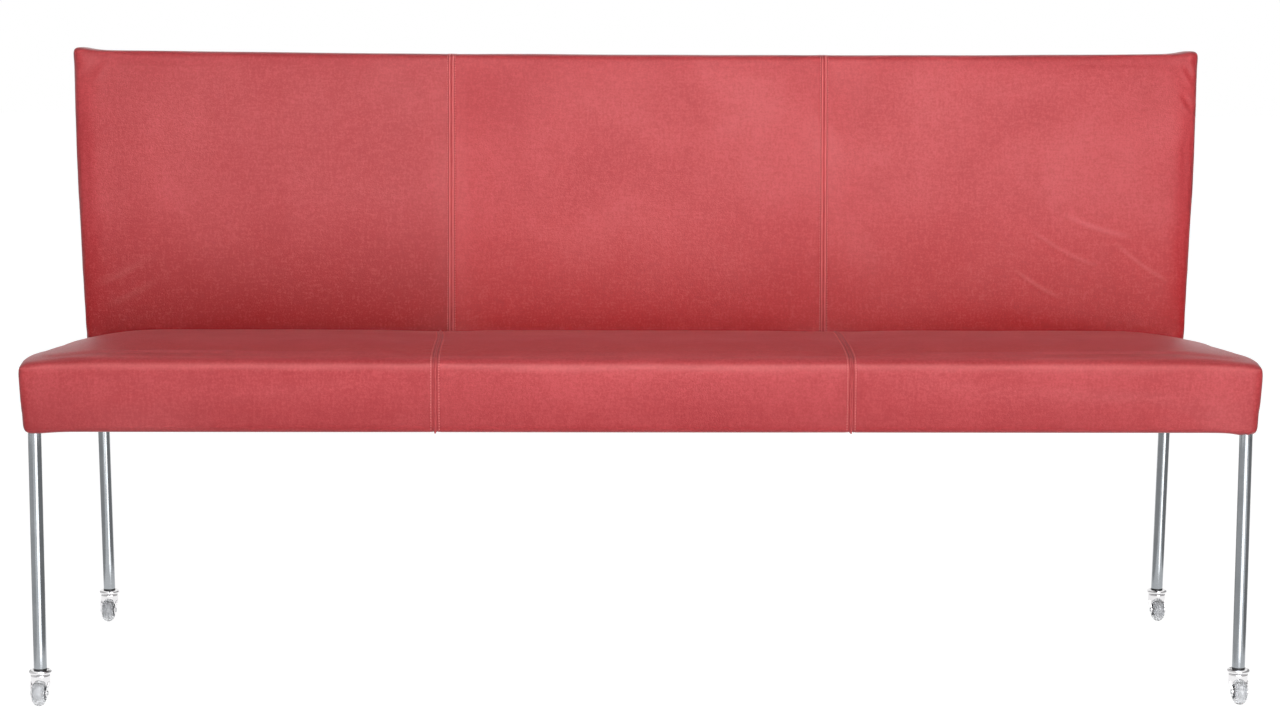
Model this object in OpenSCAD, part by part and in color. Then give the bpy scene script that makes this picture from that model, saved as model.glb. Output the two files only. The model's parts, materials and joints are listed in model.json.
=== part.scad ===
// Dining bench with a leather seat and back on a welded steel frame, standing on four swivel castors.
// Lengths are in millimetres. X runs along the bench, the front faces -Y and the floor is at zero height.

/* [Seat] */
// Width of the seat over its front edge
seat_w = 1800; // [1300:10:2200]
// Depth of the seat from its front face to the crease at the back cushion
seat_d = 467; // [420:1:540]
// Height of the underside of the upholstery above the floor
underside_z = 404; // [360:1:440]
// Height of the crease between seat and back above the underside
crease_h = 93; // [80:1:110]
// Height of the highest line of the seat above the underside
crest_h = 120; // [108:1:140]
// Distance from the front face to the highest line of the seat
crest_y = 130; // [90:1:180]
// Fall of the seat from its highest line to the start of the front rounding
front_fall = 8; // [0:0.5:14]
// Fall of the seat from its highest line to the back cushion
rear_fall = 21; // [10:0.5:26]
// Radius that rounds the front edge of the seat
nose_r = 26; // [18:1:34]
// How much the front face tucks in at its foot
front_tuck = 3; // [0:0.5:6]
// How much each end of the seat narrows from front to back
seat_taper = 13; // [4:1:16]
// How much each end tucks in at the underside
end_tuck = 5; // [2:0.5:7]
// Fall of the seat's top towards each end
end_fall = 15; // [8:0.5:17]
// Length over which the top falls towards each end
end_roll = 130; // [80:5:200]

/* [Back] */
// Height of the top edge of the back above the crease
back_h = 455; // [380:1:520]
// Width of the back over its top corners
back_w = 1812; // [1310:10:2210]
// How much each side of the back draws in at the crease
back_waist = 20; // [12:1:24]
// Lean of the front face of the back, in degrees
back_lean = 5; // [3.5:0.1:6.5]
// Lean of the rear face of the back, in degrees
rear_lean = 0.75; // [0:0.05:1.5]
// Thickness of the back at the underside, measured from below the crease
back_t = 106; // [102:1:114]
// Sag of the top edge between its corners
top_sag = 8; // [0:0.5:12]
// Height of the small raised corners of the top edge
corner_ear = 4; // [0:0.5:6]
// Bulge of each front panel of the back
back_crown = 8; // [0:0.5:12]
// Bulge of the rear face of the back
rear_crown = 3; // [0:0.5:5]
// Radius that rounds the edges of the back
back_edge_r = 13; // [8:0.5:16]

/* [Leather seams] */
// Width of each end panel as a share of the whole width
end_panel_share = 0.333; // [0.28:0.001:0.38]
// Depth of a seam groove
seam_depth = 1.5; // [1:0.5:5]
// Width of one side of a seam groove
seam_w = 4; // [3:0.5:10]
// Crown of each seat panel between its seams
panel_crown = 4; // [0:0.5:6]
// Width of the leather hem turned under the frame
hem_w = 22; // [12:1:30]
// Thickness of the hem
hem_t = 3; // [2:0.5:4]

/* [Upholstery core] */
// Thickness of the wadding over the seat foam
seat_skin = 24; // [20:0.5:26]
// Thickness of the wadding over the back foam
back_skin = 13; // [10:0.5:16]
// Gap between neighbouring soft pieces
soft_gap = 0.4; // [0.3:0.05:0.6]
// Thickness of the plywood board in the back
board_t = 4; // [3:0.5:5]
// Thickness of the cloth under the seat
cloth_t = 0.8; // [0.5:0.1:1.2]

/* [Frame] */
// Height of the frame rails
rail_h = 26; // [20:1:28]
// Wall of the frame rails and posts
rail_wall = 1.5; // [1:0.1:2.5]
// Number of rails across the frame
cross_rail_n = 3; // [1:1:5]
// Number of posts in the back
post_n = 4; // [3:1:5]
// Gap left for the weld between two frame tubes
weld_gap = 0.2; // [0.1:0.05:0.3]

/* [Webbing] */
// Width of a strap
strap_w = 50; // [30:1:60]
// Thickness of a strap
strap_t = 1.6; // [1.2:0.1:2]
// Number of straps between two neighbouring posts
straps_per_bay = 5; // [3:1:6]
// Sheet thickness of a strap clip
clip_t = 0.6; // [0.4:0.05:0.8]
// Length of a strap clip along the strap
clip_l = 12; // [8:1:16]

/* [Board screws] */
// Diameter of a screw shank
screw_d = 4; // [3:0.5:5]
// Diameter of a screw head
screw_head_d = 8; // [7:0.5:10]
// Height of a screw head
screw_head_t = 1.5; // [1:0.1:1.8]
// Number of screws in each post
screws_per_post = 3; // [2:1:5]

/* [Legs] */
// Outer diameter of a leg tube
leg_d = 19; // [16:0.5:20]
// Wall of a leg tube
leg_wall = 1.5; // [1:0.1:2.5]
// Distance from a leg's axis to the end of the upholstery
leg_end_inset = 15; // [13:0.5:20]
// Distance from a front leg's axis to the front face
leg_front_inset = 22; // [20:0.5:30]
// Distance from a rear leg's axis to the rear face, at the underside
leg_rear_inset = 20.5; // [19.5:0.5:24]
// Rake of the rear legs, in degrees
leg_rake = 4.2; // [0:0.1:4.8]

/* [Leg socket] */
// Thickness of the socket's flange
flange_t = 3.5; // [2:0.5:6]
// Length of the socket's plug inside the tube
plug_l = 30; // [22:1:40]
// Gap between the plug and the tube
plug_gap = 0.05; // [0.02:0.01:0.1]

/* [Castor] */
// Diameter of the wheel
wheel_d = 38; // [34:1:44]
// Width of the wheel
wheel_w = 18; // [15:0.5:20]
// Diameter of the hub under the tread
hub_d = 22; // [18:0.5:24]
// Distance from the swivel axis to the wheel's axle
trail = 11; // [9:0.5:12]
// Diameter of the axle
axle_d = 5; // [4:0.5:6]
// Diameter of the axle's riveted heads
axle_head_d = 6.6; // [6.5:0.1:8]
// Height of the axle's riveted heads
axle_head_t = 1.2; // [0.8:0.1:2]
// Gap between the wheel and each fork arm
wheel_gap = 0.4; // [0.3:0.05:0.8]
// Thickness of a fork arm
arm_t = 2.3; // [1.8:0.1:2.8]
// Outer diameter of the fork's hood
hood_d = 28.4; // [27:0.1:32]
// Wall of the hood
hood_wall = 2; // [1.2:0.1:2.4]
// Height of the hood's skirt below the top of the wheel
skirt_drop = 8; // [4:0.5:11]
// Outer diameter of the bead ring over the hood
ring_d = 33; // [33:0.5:38]
// Diameter of the bead that forms the ring
bead_d = 6.5; // [5:0.5:6.5]
// Thickness of the race plate inside the ring
race_t = 2; // [1.5:0.1:3]
// Diameter of the bearing balls
ball_d = 3.2; // [2.5:0.1:3.4]
// Number of bearing balls
ball_n = 14; // [8:1:16]
// Diameter of the swivel pin
pin_d = 6; // [5:0.5:6.5]
// Diameter of the swivel pin's head
pin_head_d = 11; // [9:0.5:12]
// Height of the swivel pin's head
pin_head_t = 1.6; // [1.2:0.1:2]
// Diameter of the stem that is pressed into the leg socket
stem_d = 8; // [7:0.5:9]
// Radial clearance of a pin that turns in its hole
run_gap = 0.06; // [0.03:0.01:0.1]

/* [Hidden] */
$fn = 48;

// Every cut runs this far past the faces that it opens.
overrun = 1;
// Soft pieces of the back and the seat stay this far apart at the crease.
crease_gap = 0.3;
// Flat pieces that lie on each other keep this gap.
stack_gap = 0.2;

// Heights of the castor, from the floor up
wheel_r = wheel_d / 2;
window_gap = 0.8;
window_z = wheel_d + window_gap;
pin_head_gap = 0.2;
pin_room = 2.6;
pin_head_z = wheel_d + pin_room;
hood_in_z = pin_head_z + pin_head_t + pin_head_gap;
hood_top_t = 2.4;
hood_z = hood_in_z + hood_top_t;
ball_gap = 0.25;
race_z = hood_z + ball_d + 2 * ball_gap;
ring_gap = 0.4;
bead_r = bead_d / 2;
bead_z = hood_z + ring_gap + bead_r;
flange_z = race_z + race_t;
leg_z = flange_z + flange_t;

// Plan of the castor
hood_r = hood_d / 2;
hood_in_r = hood_r - hood_wall;
skirt_z = wheel_d - skirt_drop;
hood_fillet = 2.2;
ring_r = ring_d / 2;
arm_in = wheel_w / 2 + wheel_gap;
arm_out = arm_in + arm_t;
arm_boss_r = 6;
arm_lap = 4.5;
arm_top_z = skirt_z + arm_lap;
arm_top_half = hood_r / 2;
arm_step = 0.2;
bend_rise = 3;
bend_z = wheel_r + bend_rise;
arch_over = 2.6;
arch_r = arm_in + arch_over;
ball_circle_r = 8.5;
race_lap = 1.5;

// Press fits leave this much round a pin that doesn't turn.
stem_gap = 0.03;
stem_inset = 4;
stem_l = plug_l - stem_inset;
head_gap = 0.05;

// Wheel
hub_rim_t = 1.5;
hub_rim_half = 7.5;
hub_web_half = 2;
hub_boss_half = 8.7;
hub_boss_t = 2.5;
tread_crown_r = 9.6;

// Levels and depths of the bench
crease_z = underside_z + crease_h;
crest_z = underside_z + crest_h;
top_z = crease_z + back_h;
rear_y = seat_d + back_t;
frame_z = underside_z + hem_t + cloth_t + 2 * stack_gap;
rail_top_z = frame_z + rail_h;
clip_z = rail_top_z + stack_gap;
strap_z = clip_z + clip_t + stack_gap;
foam_z = strap_z + strap_t + stack_gap + clip_t + stack_gap;

// Half widths
end_wall = 8;
seat_half = seat_w / 2;
foot_half = seat_half - end_tuck;
back_half = back_w / 2;
seam_x = seat_half - seat_w * end_panel_share;
leg_x = foot_half - leg_end_inset;
leg_r = leg_d / 2;
leg_gap = 0.4;
core_half = leg_x + leg_r + leg_gap;
seat_core_half = seat_half - seat_taper - end_wall;
back_core_half = back_half - back_waist - back_skin;

// Legs
rear_leg_y = rear_y - leg_rear_inset;
rear_foot_y = rear_leg_y + (underside_z - leg_z) * tan(leg_rake);
rear_rail_y = rear_leg_y - (frame_z + rail_h / 2 - underside_z) * tan(leg_rake);
leg_reach = leg_d + (rail_top_z - leg_z) * tan(leg_rake);
corner_x = [-leg_x, leg_x, -leg_x, leg_x];
corner_y = [leg_front_inset, leg_front_inset, rear_foot_y, rear_foot_y];

// The bench is centred on its own depth, from the front wheels to the rear rings.
front_limit = leg_front_inset - trail - wheel_r;
rear_limit = rear_foot_y + ring_r;
shift_y = -(front_limit + rear_limit) / 2;

// Back frame
post_drop = 47;
post_top_z = top_z - post_drop;
post_w = leg_d;
post_front_y = rear_rail_y - leg_r;
post_rear_y = post_front_y + post_w;
post_end_inset = 10;
board_rear_y = post_rear_y + stack_gap + board_t;
core_rear_y = board_rear_y + screw_head_t + leg_gap;
core_top_z = post_top_z + post_w + soft_gap;
screw_tip = 3;
screw_reach = board_t + stack_gap + rail_wall + screw_tip;

// Seat core and straps
core_front = leg_front_inset - leg_r - leg_gap;
rear_wall = 6;
strap_end_gap = 1.2;
strap_front_y = core_front + strap_end_gap;
strap_rear_y = post_rear_y - strap_end_gap;

// Rounding of the seat's ends and plan corners
seat_edge_r = 12;
plan_corner_r = 18;
rear_roll_r = 8;
ear_l = 50;
front_crown = 2;
front_end_share = 0.45;
crease_edge_share = 0.25;
edge_rise = 160;

// Stations of a form, as shares of the way from a seam to the end
end_shares = [0, 0.01, 0.12, 0.25, 0.38, 0.5, 0.62, 0.73, 0.82, 0.89, 0.935, 0.965, 0.985, 0.995, 1];
middle_shares = [-1, -0.98, -0.8, -0.6, -0.4, -0.2, 0, 0.2, 0.4, 0.6, 0.8, 0.98, 1];

// Helpers
function clamp01(t) = min(1, max(0, t));
function smooth(t) = let (s = clamp01(t)) s * s * (3 - 2 * s);
function circle_fall(r, over) = over <= 0 ? 0 : r - sqrt(max(0, r * r - min(r, over) * min(r, over)));

// A closed solid through rings of points, each ring with the same even number of points. The first and the
// last ring are closed by rungs from the points of one flank to those of the other.
module loft(rings) {
    n = len(rings[0]);
    last = n * (len(rings) - 1);
    sides = [
        for (j = [0:len(rings) - 2], i = [0:n - 1])
            let (a = j * n + i, b = j * n + (i + 1) % n, c = b + n, d = a + n)
                each [[a, b, c], [a, c, d]]
    ];
    rungs = [
        for (i = [0:n / 2 - 2])
            let (a = i, b = i + 1, c = n - 2 - i, d = n - 1 - i)
                each [[a, c, b], [a, d, c], [last + a, last + b, last + c], [last + a, last + c, last + d]]
    ];
    polyhedron(points = [for (r = rings) each r], faces = concat(sides, rungs));
}

// Turns an outline drawn in depth and height into a solid along X, between two ends.
module along_x(from, to) {
    translate([from, 0, 0]) rotate([90, 0, 90]) linear_extrude(height = to - from) children();
}

// Turns an outline drawn in width and height into a solid along Y, between two ends.
module along_y(from, to) {
    translate([0, to, 0]) rotate([90, 0, 0]) linear_extrude(height = to - from) children();
}

module in_place() {
    translate([0, shift_y, 0]) children();
}

module at_corner(i) {
    translate([corner_x[i], corner_y[i] + shift_y, 0]) children();
}

// A box between two opposite corners.
module span(low, high) {
    translate(low) cube(high - low);
}

// Surfaces of the upholstery
function back_front(z) = seat_d + (z - crease_z) * tan(back_lean);
function back_rear(z) = rear_y + (z - underside_z) * tan(rear_lean);
function seat_top(y) =
    y < crest_y
        ? crest_z - front_fall * pow((crest_y - y) / (crest_y - nose_r), 2)
        : crest_z - rear_fall * pow((y - crest_y) / (seat_d - crest_y), 1.6);

function seat_half_at(y, z) =
    let (up = smooth((z - underside_z) / crease_h))
        (1 - up) * foot_half + up * (seat_half - seat_taper * y / seat_d);

function back_half_at(z) =
    z < crease_z
        ? foot_half + smooth((z - underside_z) / crease_h) * (back_half - back_waist - foot_half)
        : back_half - back_waist * pow(1 - clamp01((z - crease_z) / back_h), 1.4);

// A panel is fullest in its middle and drops into a groove at its seams.
function panel_share(x, half) =
    abs(x) <= seam_x ? 1 - pow(x / seam_x, 2) : sin(180 * clamp01((abs(x) - seam_x) / (half - seam_x)));
function groove(x) = seam_depth * (1 - clamp01(abs(abs(x) - seam_x) / seam_w));
function end_drop(x, y) =
    let (
        along = clamp01((x - seat_half + end_roll) / end_roll),
        across = smooth((y - nose_r) / end_roll)
    )
        end_fall * along * along * (front_end_share + (1 - front_end_share) * across);

// Cross-section of the seat, in depth and height
function seat_profile(x) =
    let (
        edge = circle_fall(seat_edge_r, x - seat_half + seat_edge_r),
        corner = circle_fall(plan_corner_r, x - seat_half + plan_corner_r),
        front = groove(x) + corner - front_crown * panel_share(x, seat_half),
        lift = panel_crown * panel_share(x, seat_half) - groove(x) - edge,
        nose_z = seat_top(nose_r) + lift - end_drop(x, 0) - nose_r,
        top_end = back_front(crease_z) - crease_gap - rear_roll_r,
        roll_z = seat_top(top_end) + lift - end_drop(x, top_end) - rear_roll_r,
        rear_end = back_front(roll_z) - crease_gap
    ) concat(
        [for (k = [0:4]) let (t = k / 5)
            [front + front_tuck * pow(1 - t, 2), underside_z + (nose_z - underside_z) * t]],
        [for (a = [180:-18:90]) [front + nose_r + nose_r * cos(a), nose_z + nose_r * sin(a)]],
        [for (k = [1:9])
            let (y = nose_r + (top_end - nose_r) * k / 10) [y, seat_top(y) + lift - end_drop(x, y)]],
        [for (a = [90:-30:0]) [rear_end - rear_roll_r * (1 - cos(a)), roll_z + rear_roll_r * sin(a)]],
        [for (k = [1, 0]) let (z = underside_z + (roll_z - underside_z) * k / 2)
            [back_front(z) - crease_gap, z]]
    );

function seat_ring(x) = [
    for (p = seat_profile(x))
        let (reach = (seat_half_at(p[0], p[1]) - seam_x) / (seat_half - seam_x))
            [x <= seam_x ? x : seam_x + (x - seam_x) * reach, p[0] + shift_y, p[1]]
];

// Cross-section of the back, in depth and height
function back_profile(x) =
    let (
        edge = circle_fall(back_edge_r, x - back_half + back_edge_r),
        full = panel_share(x, back_half),
        ear = corner_ear * smooth((x - back_half + ear_l) / ear_l),
        arc_z = top_z - top_sag * (1 - pow(x / back_half, 2)) + ear - groove(x) - edge / 2 - back_edge_r,
        in = groove(x) + edge,
        low_shares = [0, 0.5],
        levels = concat(
            [for (s = low_shares) underside_z + crease_h * s],
            [for (k = [0:9]) crease_z + (arc_z - crease_z) * k / 10]
        )
    ) concat(
        [for (z = levels)
            let (t = clamp01((z - crease_z) / (arc_z - crease_z)))
            let (rise = smooth((z - crease_z) / edge_rise))
                [
                    back_front(z) + groove(x) + edge * (crease_edge_share + (1 - crease_edge_share) * rise)
                        - back_crown * full * sin(180 * t),
                    z,
                ]],
        [for (a = [180:-22.5:90])
            [back_front(arc_z) + in + back_edge_r * (1 + cos(a)), arc_z + back_edge_r * sin(a)]],
        [for (a = [90:-22.5:0])
            [back_rear(arc_z) - in - back_edge_r * (1 - cos(a)), arc_z + back_edge_r * sin(a)]],
        [for (k = [len(levels) - 1:-1:0])
            let (z = levels[k], t = (z - underside_z) / (arc_z - underside_z))
                [back_rear(z) - in + rear_crown * full * sin(180 * t), z]]
    );

function back_ring(x) = [
    for (p = back_profile(x))
        let (reach = (back_half_at(p[1]) - seam_x) / (back_half - seam_x))
            [x <= seam_x ? x : seam_x + (x - seam_x) * reach, p[0] + shift_y, p[1]]
];

// Outline of the seat foam, pulled in by a gap on all sides but its foot
function seat_core_points(gap) =
    let (
        front = core_front + gap,
        nose = nose_r - core_front,
        top_end = back_front(crease_z) - crease_gap - rear_wall - gap,
        nose_z = seat_top(nose_r) - seat_skin - gap - nose
    ) concat(
        [[front, foam_z]],
        [for (a = [180:-30:90]) [front + nose * (1 + cos(a)), nose_z + nose * sin(a)]],
        [for (k = [1:8])
            let (y = front + nose + (top_end - front - nose) * k / 8) [y, seat_top(y) - seat_skin - gap]],
        [[back_front(foam_z) - crease_gap - rear_wall - gap, foam_z]]
    );

function back_core_points(front_gap, rear, top) = [
    [back_front(foam_z) + back_skin + front_gap, foam_z],
    [back_front(top) + back_skin + front_gap, top],
    [rear, top],
    [rear, foam_z],
];

// Parts of the legs
module leg_rod(i, r, low, high) {
    rake = i < 2 ? 0 : leg_rake;
    intersection() {
        translate([corner_x[i], corner_y[i], leg_z])
            rotate([rake, 0, 0])
                translate([0, 0, low - leg_z - leg_d]) cylinder(r = r, h = high - low + 3 * leg_d);
        translate([corner_x[i], corner_y[i], 0])
            span([-leg_d, -leg_reach, low], [leg_d, leg_reach, high]);
    }
}

module leg(i) {
    color("silver") in_place() difference() {
        leg_rod(i, leg_r, leg_z, rail_top_z);
        leg_rod(i, leg_r - leg_wall, leg_z - overrun, rail_top_z + overrun);
    }
}

module socket(i) {
    color("black") in_place() difference() {
        union() {
            leg_rod(i, leg_r - leg_wall - plug_gap, leg_z - flange_t / 2, leg_z + plug_l);
            translate([corner_x[i], corner_y[i], flange_z]) cylinder(r = leg_r, h = flange_t);
        }
        translate([corner_x[i], corner_y[i], flange_z - overrun])
            cylinder(r = stem_d / 2 + stem_gap, h = flange_t + plug_l + 2 * overrun);
    }
}

// Parts of a castor, drawn on its swivel axis
module stem() {
    color("silver") {
        translate([0, 0, pin_head_z]) cylinder(d = pin_head_d, h = pin_head_t);
        translate([0, 0, pin_head_z]) cylinder(d = pin_d, h = flange_z - pin_head_z);
        translate([0, 0, flange_z]) cylinder(d = stem_d, h = stem_l);
    }
}

module ring() {
    hole_r = pin_d / 2 + run_gap;
    color("gainsboro") rotate_extrude() {
        translate([ring_r - bead_r, bead_z]) circle(r = bead_r);
        translate([hole_r, race_z]) square([ring_r - bead_r - race_lap - hole_r, race_t]);
    }
}

module balls() {
    color("silver") for (k = [0:ball_n - 1])
        rotate([0, 0, 360 * k / ball_n])
            translate([ball_circle_r, 0, race_z - ball_gap - ball_d / 2]) sphere(d = ball_d);
}

module hood_profile() {
    difference() {
        union() {
            translate([0, skirt_z]) square([hood_r, hood_z - hood_fillet - skirt_z]);
            translate([0, skirt_z]) square([hood_r - hood_fillet, hood_z - skirt_z]);
            translate([hood_r - hood_fillet, hood_z - hood_fillet]) circle(r = hood_fillet);
        }
        translate([0, skirt_z - overrun]) square([hood_in_r, hood_in_z - skirt_z + overrun]);
        translate([0, hood_in_z - overrun]) square([pin_d / 2 + run_gap, hood_top_t + 2 * overrun]);
    }
}

// Front view of the two arms: each bends in from the hood to the wheel.
module arm_front_view() {
    low = wheel_r - arm_boss_r - overrun;
    for (side = [0, 1]) mirror([side, 0])
        polygon([
            [arm_in, low],
            [arm_out, low],
            [arm_out, bend_z],
            [hood_r, skirt_z],
            [hood_r, arm_top_z],
            [hood_in_r, arm_top_z],
            [hood_in_r, skirt_z],
            [arm_in, bend_z],
        ]);
}

// Side view of an arm: it leans forward from the hood to the boss round the axle.
module arm_side_view() {
    polygon([
        [-arm_top_half, arm_top_z],
        [arm_top_half, arm_top_z],
        [arm_boss_r * cos(45) - trail, wheel_r - arm_boss_r * sin(45)],
        [-trail - arm_boss_r, wheel_r],
    ]);
    translate([-trail, wheel_r]) circle(r = arm_boss_r);
}

module arm_plan() {
    reach = hood_r - arm_step;
    circle(r = reach);
    translate([0, -trail]) circle(r = reach);
    translate([-reach, -trail]) square([2 * reach, trail]);
}

module window() {
    translate([-arm_in, skirt_z - overrun]) square([2 * arm_in, window_z - arch_r - skirt_z + 2 * overrun]);
    intersection() {
        translate([0, window_z - arch_r]) circle(r = arch_r);
        translate([-arm_in, window_z - arch_r]) square([2 * arm_in, arch_r]);
    }
}

module fork() {
    color("gainsboro") difference() {
        union() {
            difference() {
                rotate_extrude() hood_profile();
                along_y(-hood_r - overrun, 0) window();
            }
            intersection() {
                along_y(-hood_d, hood_d) arm_front_view();
                along_x(-hood_d, hood_d) arm_side_view();
                linear_extrude(height = hood_z) arm_plan();
            }
        }
        translate([-hood_d, -trail, wheel_r])
            rotate([0, 90, 0]) cylinder(r = axle_d / 2 + stem_gap, h = 2 * hood_d);
    }
}

module axle() {
    head_x = arm_out + head_gap;
    color("silver") translate([0, -trail, wheel_r]) rotate([0, 90, 0]) {
        translate([0, 0, -head_x]) cylinder(d = axle_d, h = 2 * head_x);
        for (side = [-1, 1]) translate([0, 0, side * (head_x + axle_head_t / 2)])
            cylinder(d = axle_head_d, h = axle_head_t, center = true);
    }
}

module on_axle() {
    translate([0, -trail, wheel_r]) rotate([0, 90, 0]) children();
}

module hub() {
    bore_r = axle_d / 2 + run_gap;
    color("lightgray") on_axle() rotate_extrude() {
        translate([hub_d / 2 - hub_rim_t, -hub_rim_half]) square([hub_rim_t, 2 * hub_rim_half]);
        translate([bore_r, -hub_web_half]) square([hub_d / 2 - hub_rim_t / 2 - bore_r, 2 * hub_web_half]);
        translate([bore_r, -hub_boss_half]) square([hub_boss_t, 2 * hub_boss_half]);
    }
}

module tread() {
    inner_r = hub_d / 2 + stem_gap;
    color("whitesmoke") on_axle() rotate_extrude() intersection() {
        translate([wheel_r - tread_crown_r, 0]) circle(r = tread_crown_r);
        translate([inner_r, -wheel_w / 2]) square([wheel_r - inner_r + overrun, wheel_w]);
    }
}

// Frame
module tube_section(w, h) {
    difference() {
        square([w, h]);
        translate([rail_wall, rail_wall]) square([w - 2 * rail_wall, h - 2 * rail_wall]);
    }
}

module long_rail(y, first) {
    color("dimgray") in_place() difference() {
        along_x(-leg_x, leg_x) translate([y - leg_r, frame_z]) tube_section(leg_d, rail_h);
        for (i = [first, first + 1]) leg_rod(i, leg_r + weld_gap, frame_z - overrun, rail_top_z + overrun);
    }
}

module depth_rail(x, to) {
    in_place() along_y(leg_front_inset + leg_r + weld_gap, to)
        translate([x - leg_r, frame_z]) tube_section(leg_d, rail_h);
}

module end_rail(side) {
    lean = leg_r / cos(leg_rake) - leg_r + rail_h / 2 * tan(leg_rake);
    color("dimgray") depth_rail(side * leg_x, post_front_y - weld_gap - lean);
}

module cross_rails() {
    color("dimgray") for (k = [1:cross_rail_n])
        depth_rail(leg_x * (2 * k / (cross_rail_n + 1) - 1), post_front_y - weld_gap);
}

function post_x(k) = (back_core_half - post_w / 2 - soft_gap) * (2 * k / (post_n - 1) - 1);
function screw_z(k) = foam_z + (post_top_z - foam_z) * (k + 0.5) / screws_per_post;

module at_screws() {
    for (p = [0:post_n - 1], k = [0:screws_per_post - 1])
        translate([post_x(p), board_rear_y, screw_z(k)]) rotate([90, 0, 0]) children();
}

module screw_holes(gap) {
    at_screws() translate([0, 0, -overrun]) cylinder(r = screw_d / 2 + gap, h = screw_reach + 2 * overrun);
}

module back_posts() {
    color("dimgray") in_place() difference() {
        for (k = [0:post_n - 1]) translate([post_x(k) - post_w / 2, post_front_y, rail_top_z])
            linear_extrude(height = post_top_z - rail_top_z) tube_section(post_w, post_w);
        screw_holes(run_gap);
    }
}

module back_top_rail() {
    reach = post_x(post_n - 1) + post_w / 2;
    color("dimgray") in_place()
        along_x(-reach, reach) translate([post_front_y, post_top_z]) tube_section(post_w, post_w);
}

module back_board() {
    color("burlywood") in_place() difference() {
        span(
            [-back_core_half, board_rear_y - board_t, foam_z],
            [back_core_half, board_rear_y, post_top_z + post_w]
        );
        screw_holes(soft_gap / 2);
    }
}

module board_screws() {
    color("silver") in_place() at_screws() {
        translate([0, 0, -screw_head_t]) cylinder(d = screw_head_d, h = screw_head_t);
        cylinder(d = screw_d, h = screw_reach);
    }
}

// Webbing
module at_straps() {
    for (p = [0:post_n - 2], k = [1:straps_per_bay])
        translate([post_x(p) + (post_x(p + 1) - post_x(p)) * k / (straps_per_bay + 1), 0, 0]) children();
}

module seat_webbing() {
    color("peru") in_place() at_straps()
        span([-strap_w / 2, strap_front_y, strap_z], [strap_w / 2, strap_rear_y, strap_z + strap_t]);
}

// A clip is a folded sheet that grips the end of a strap, drawn in depth and height.
module clip_section() {
    leaf_gap = strap_t + 2 * stack_gap;
    difference() {
        translate([-stack_gap - clip_t, 0]) square([clip_l, leaf_gap + 2 * clip_t]);
        translate([-stack_gap, clip_t]) square([clip_l + overrun, leaf_gap]);
    }
}

module webbing_clips() {
    color("silver") in_place() at_straps() {
        along_x(-strap_w / 2, strap_w / 2) translate([strap_front_y, clip_z]) clip_section();
        along_x(-strap_w / 2, strap_w / 2) translate([strap_rear_y, clip_z]) mirror([1, 0]) clip_section();
    }
}

// Upholstery
module seat_foam() {
    color("khaki") in_place() along_x(-seat_core_half, seat_core_half) polygon(seat_core_points(soft_gap));
}

module back_foam() {
    color("khaki") in_place() along_x(-back_core_half, back_core_half)
        polygon(back_core_points(soft_gap, post_front_y - stack_gap, core_top_z - soft_gap));
}

// Room for the frame and the legs inside the covers, with the hem left under it
module frame_space() {
    in_place() {
        span([-core_half, core_front, underside_z + hem_t], [core_half, core_rear_y, foam_z]);
        span(
            [-core_half + hem_w, core_front + hem_w, underside_z - overrun],
            [core_half - hem_w, core_rear_y - hem_w, underside_z + hem_t + overrun]
        );
        for (i = [0:3]) leg_rod(i, leg_r + leg_gap, underside_z - overrun, underside_z + hem_t + overrun);
    }
}

module seat_room() {
    frame_space();
    in_place() along_x(-seat_core_half - soft_gap, seat_core_half + soft_gap)
        polygon(concat(seat_core_points(0), [[seat_d / 2, foam_z - overrun]]));
}

module back_room() {
    frame_space();
    in_place() along_x(-back_core_half - soft_gap, back_core_half + soft_gap)
        polygon(concat(
            back_core_points(0, core_rear_y, core_top_z),
            [[core_rear_y - board_t, foam_z - overrun]]
        ));
}

module seat_end_cover() {
    difference() {
        loft([for (s = end_shares) seat_ring(seam_x + (seat_half - seam_x) * s)]);
        seat_room();
    }
}

module seat_cover_right() {
    color("indianred") seat_end_cover();
}

module seat_cover_left() {
    color("indianred") mirror([1, 0, 0]) seat_end_cover();
}

module seat_cover_middle() {
    color("indianred") difference() {
        loft([for (s = middle_shares) seat_ring(seam_x * s)]);
        seat_room();
    }
}

module back_end_cover() {
    difference() {
        loft([for (s = end_shares) back_ring(seam_x + (back_half - seam_x) * s)]);
        back_room();
    }
}

module back_cover_right() {
    color("brown") back_end_cover();
}

module back_cover_left() {
    color("brown") mirror([1, 0, 0]) back_end_cover();
}

module back_cover_middle() {
    color("brown") difference() {
        loft([for (s = middle_shares) back_ring(seam_x * s)]);
        back_room();
    }
}

module underside_cloth() {
    low = underside_z + hem_t + stack_gap;
    color("black") in_place() difference() {
        span(
            [-core_half + soft_gap, core_front + soft_gap, low],
            [core_half - soft_gap, core_rear_y - soft_gap, low + cloth_t]
        );
        for (i = [0:3]) leg_rod(i, leg_r + leg_gap, low - overrun, low + cloth_t + overrun);
        for (side = [-1, 1]) translate([side * (leg_x + leg_r), leg_front_inset - leg_r, low - overrun])
            translate([-leg_r, -leg_r, 0]) cube([2 * leg_r, 2 * leg_r, cloth_t + 2 * overrun]);
    }
}

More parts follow.
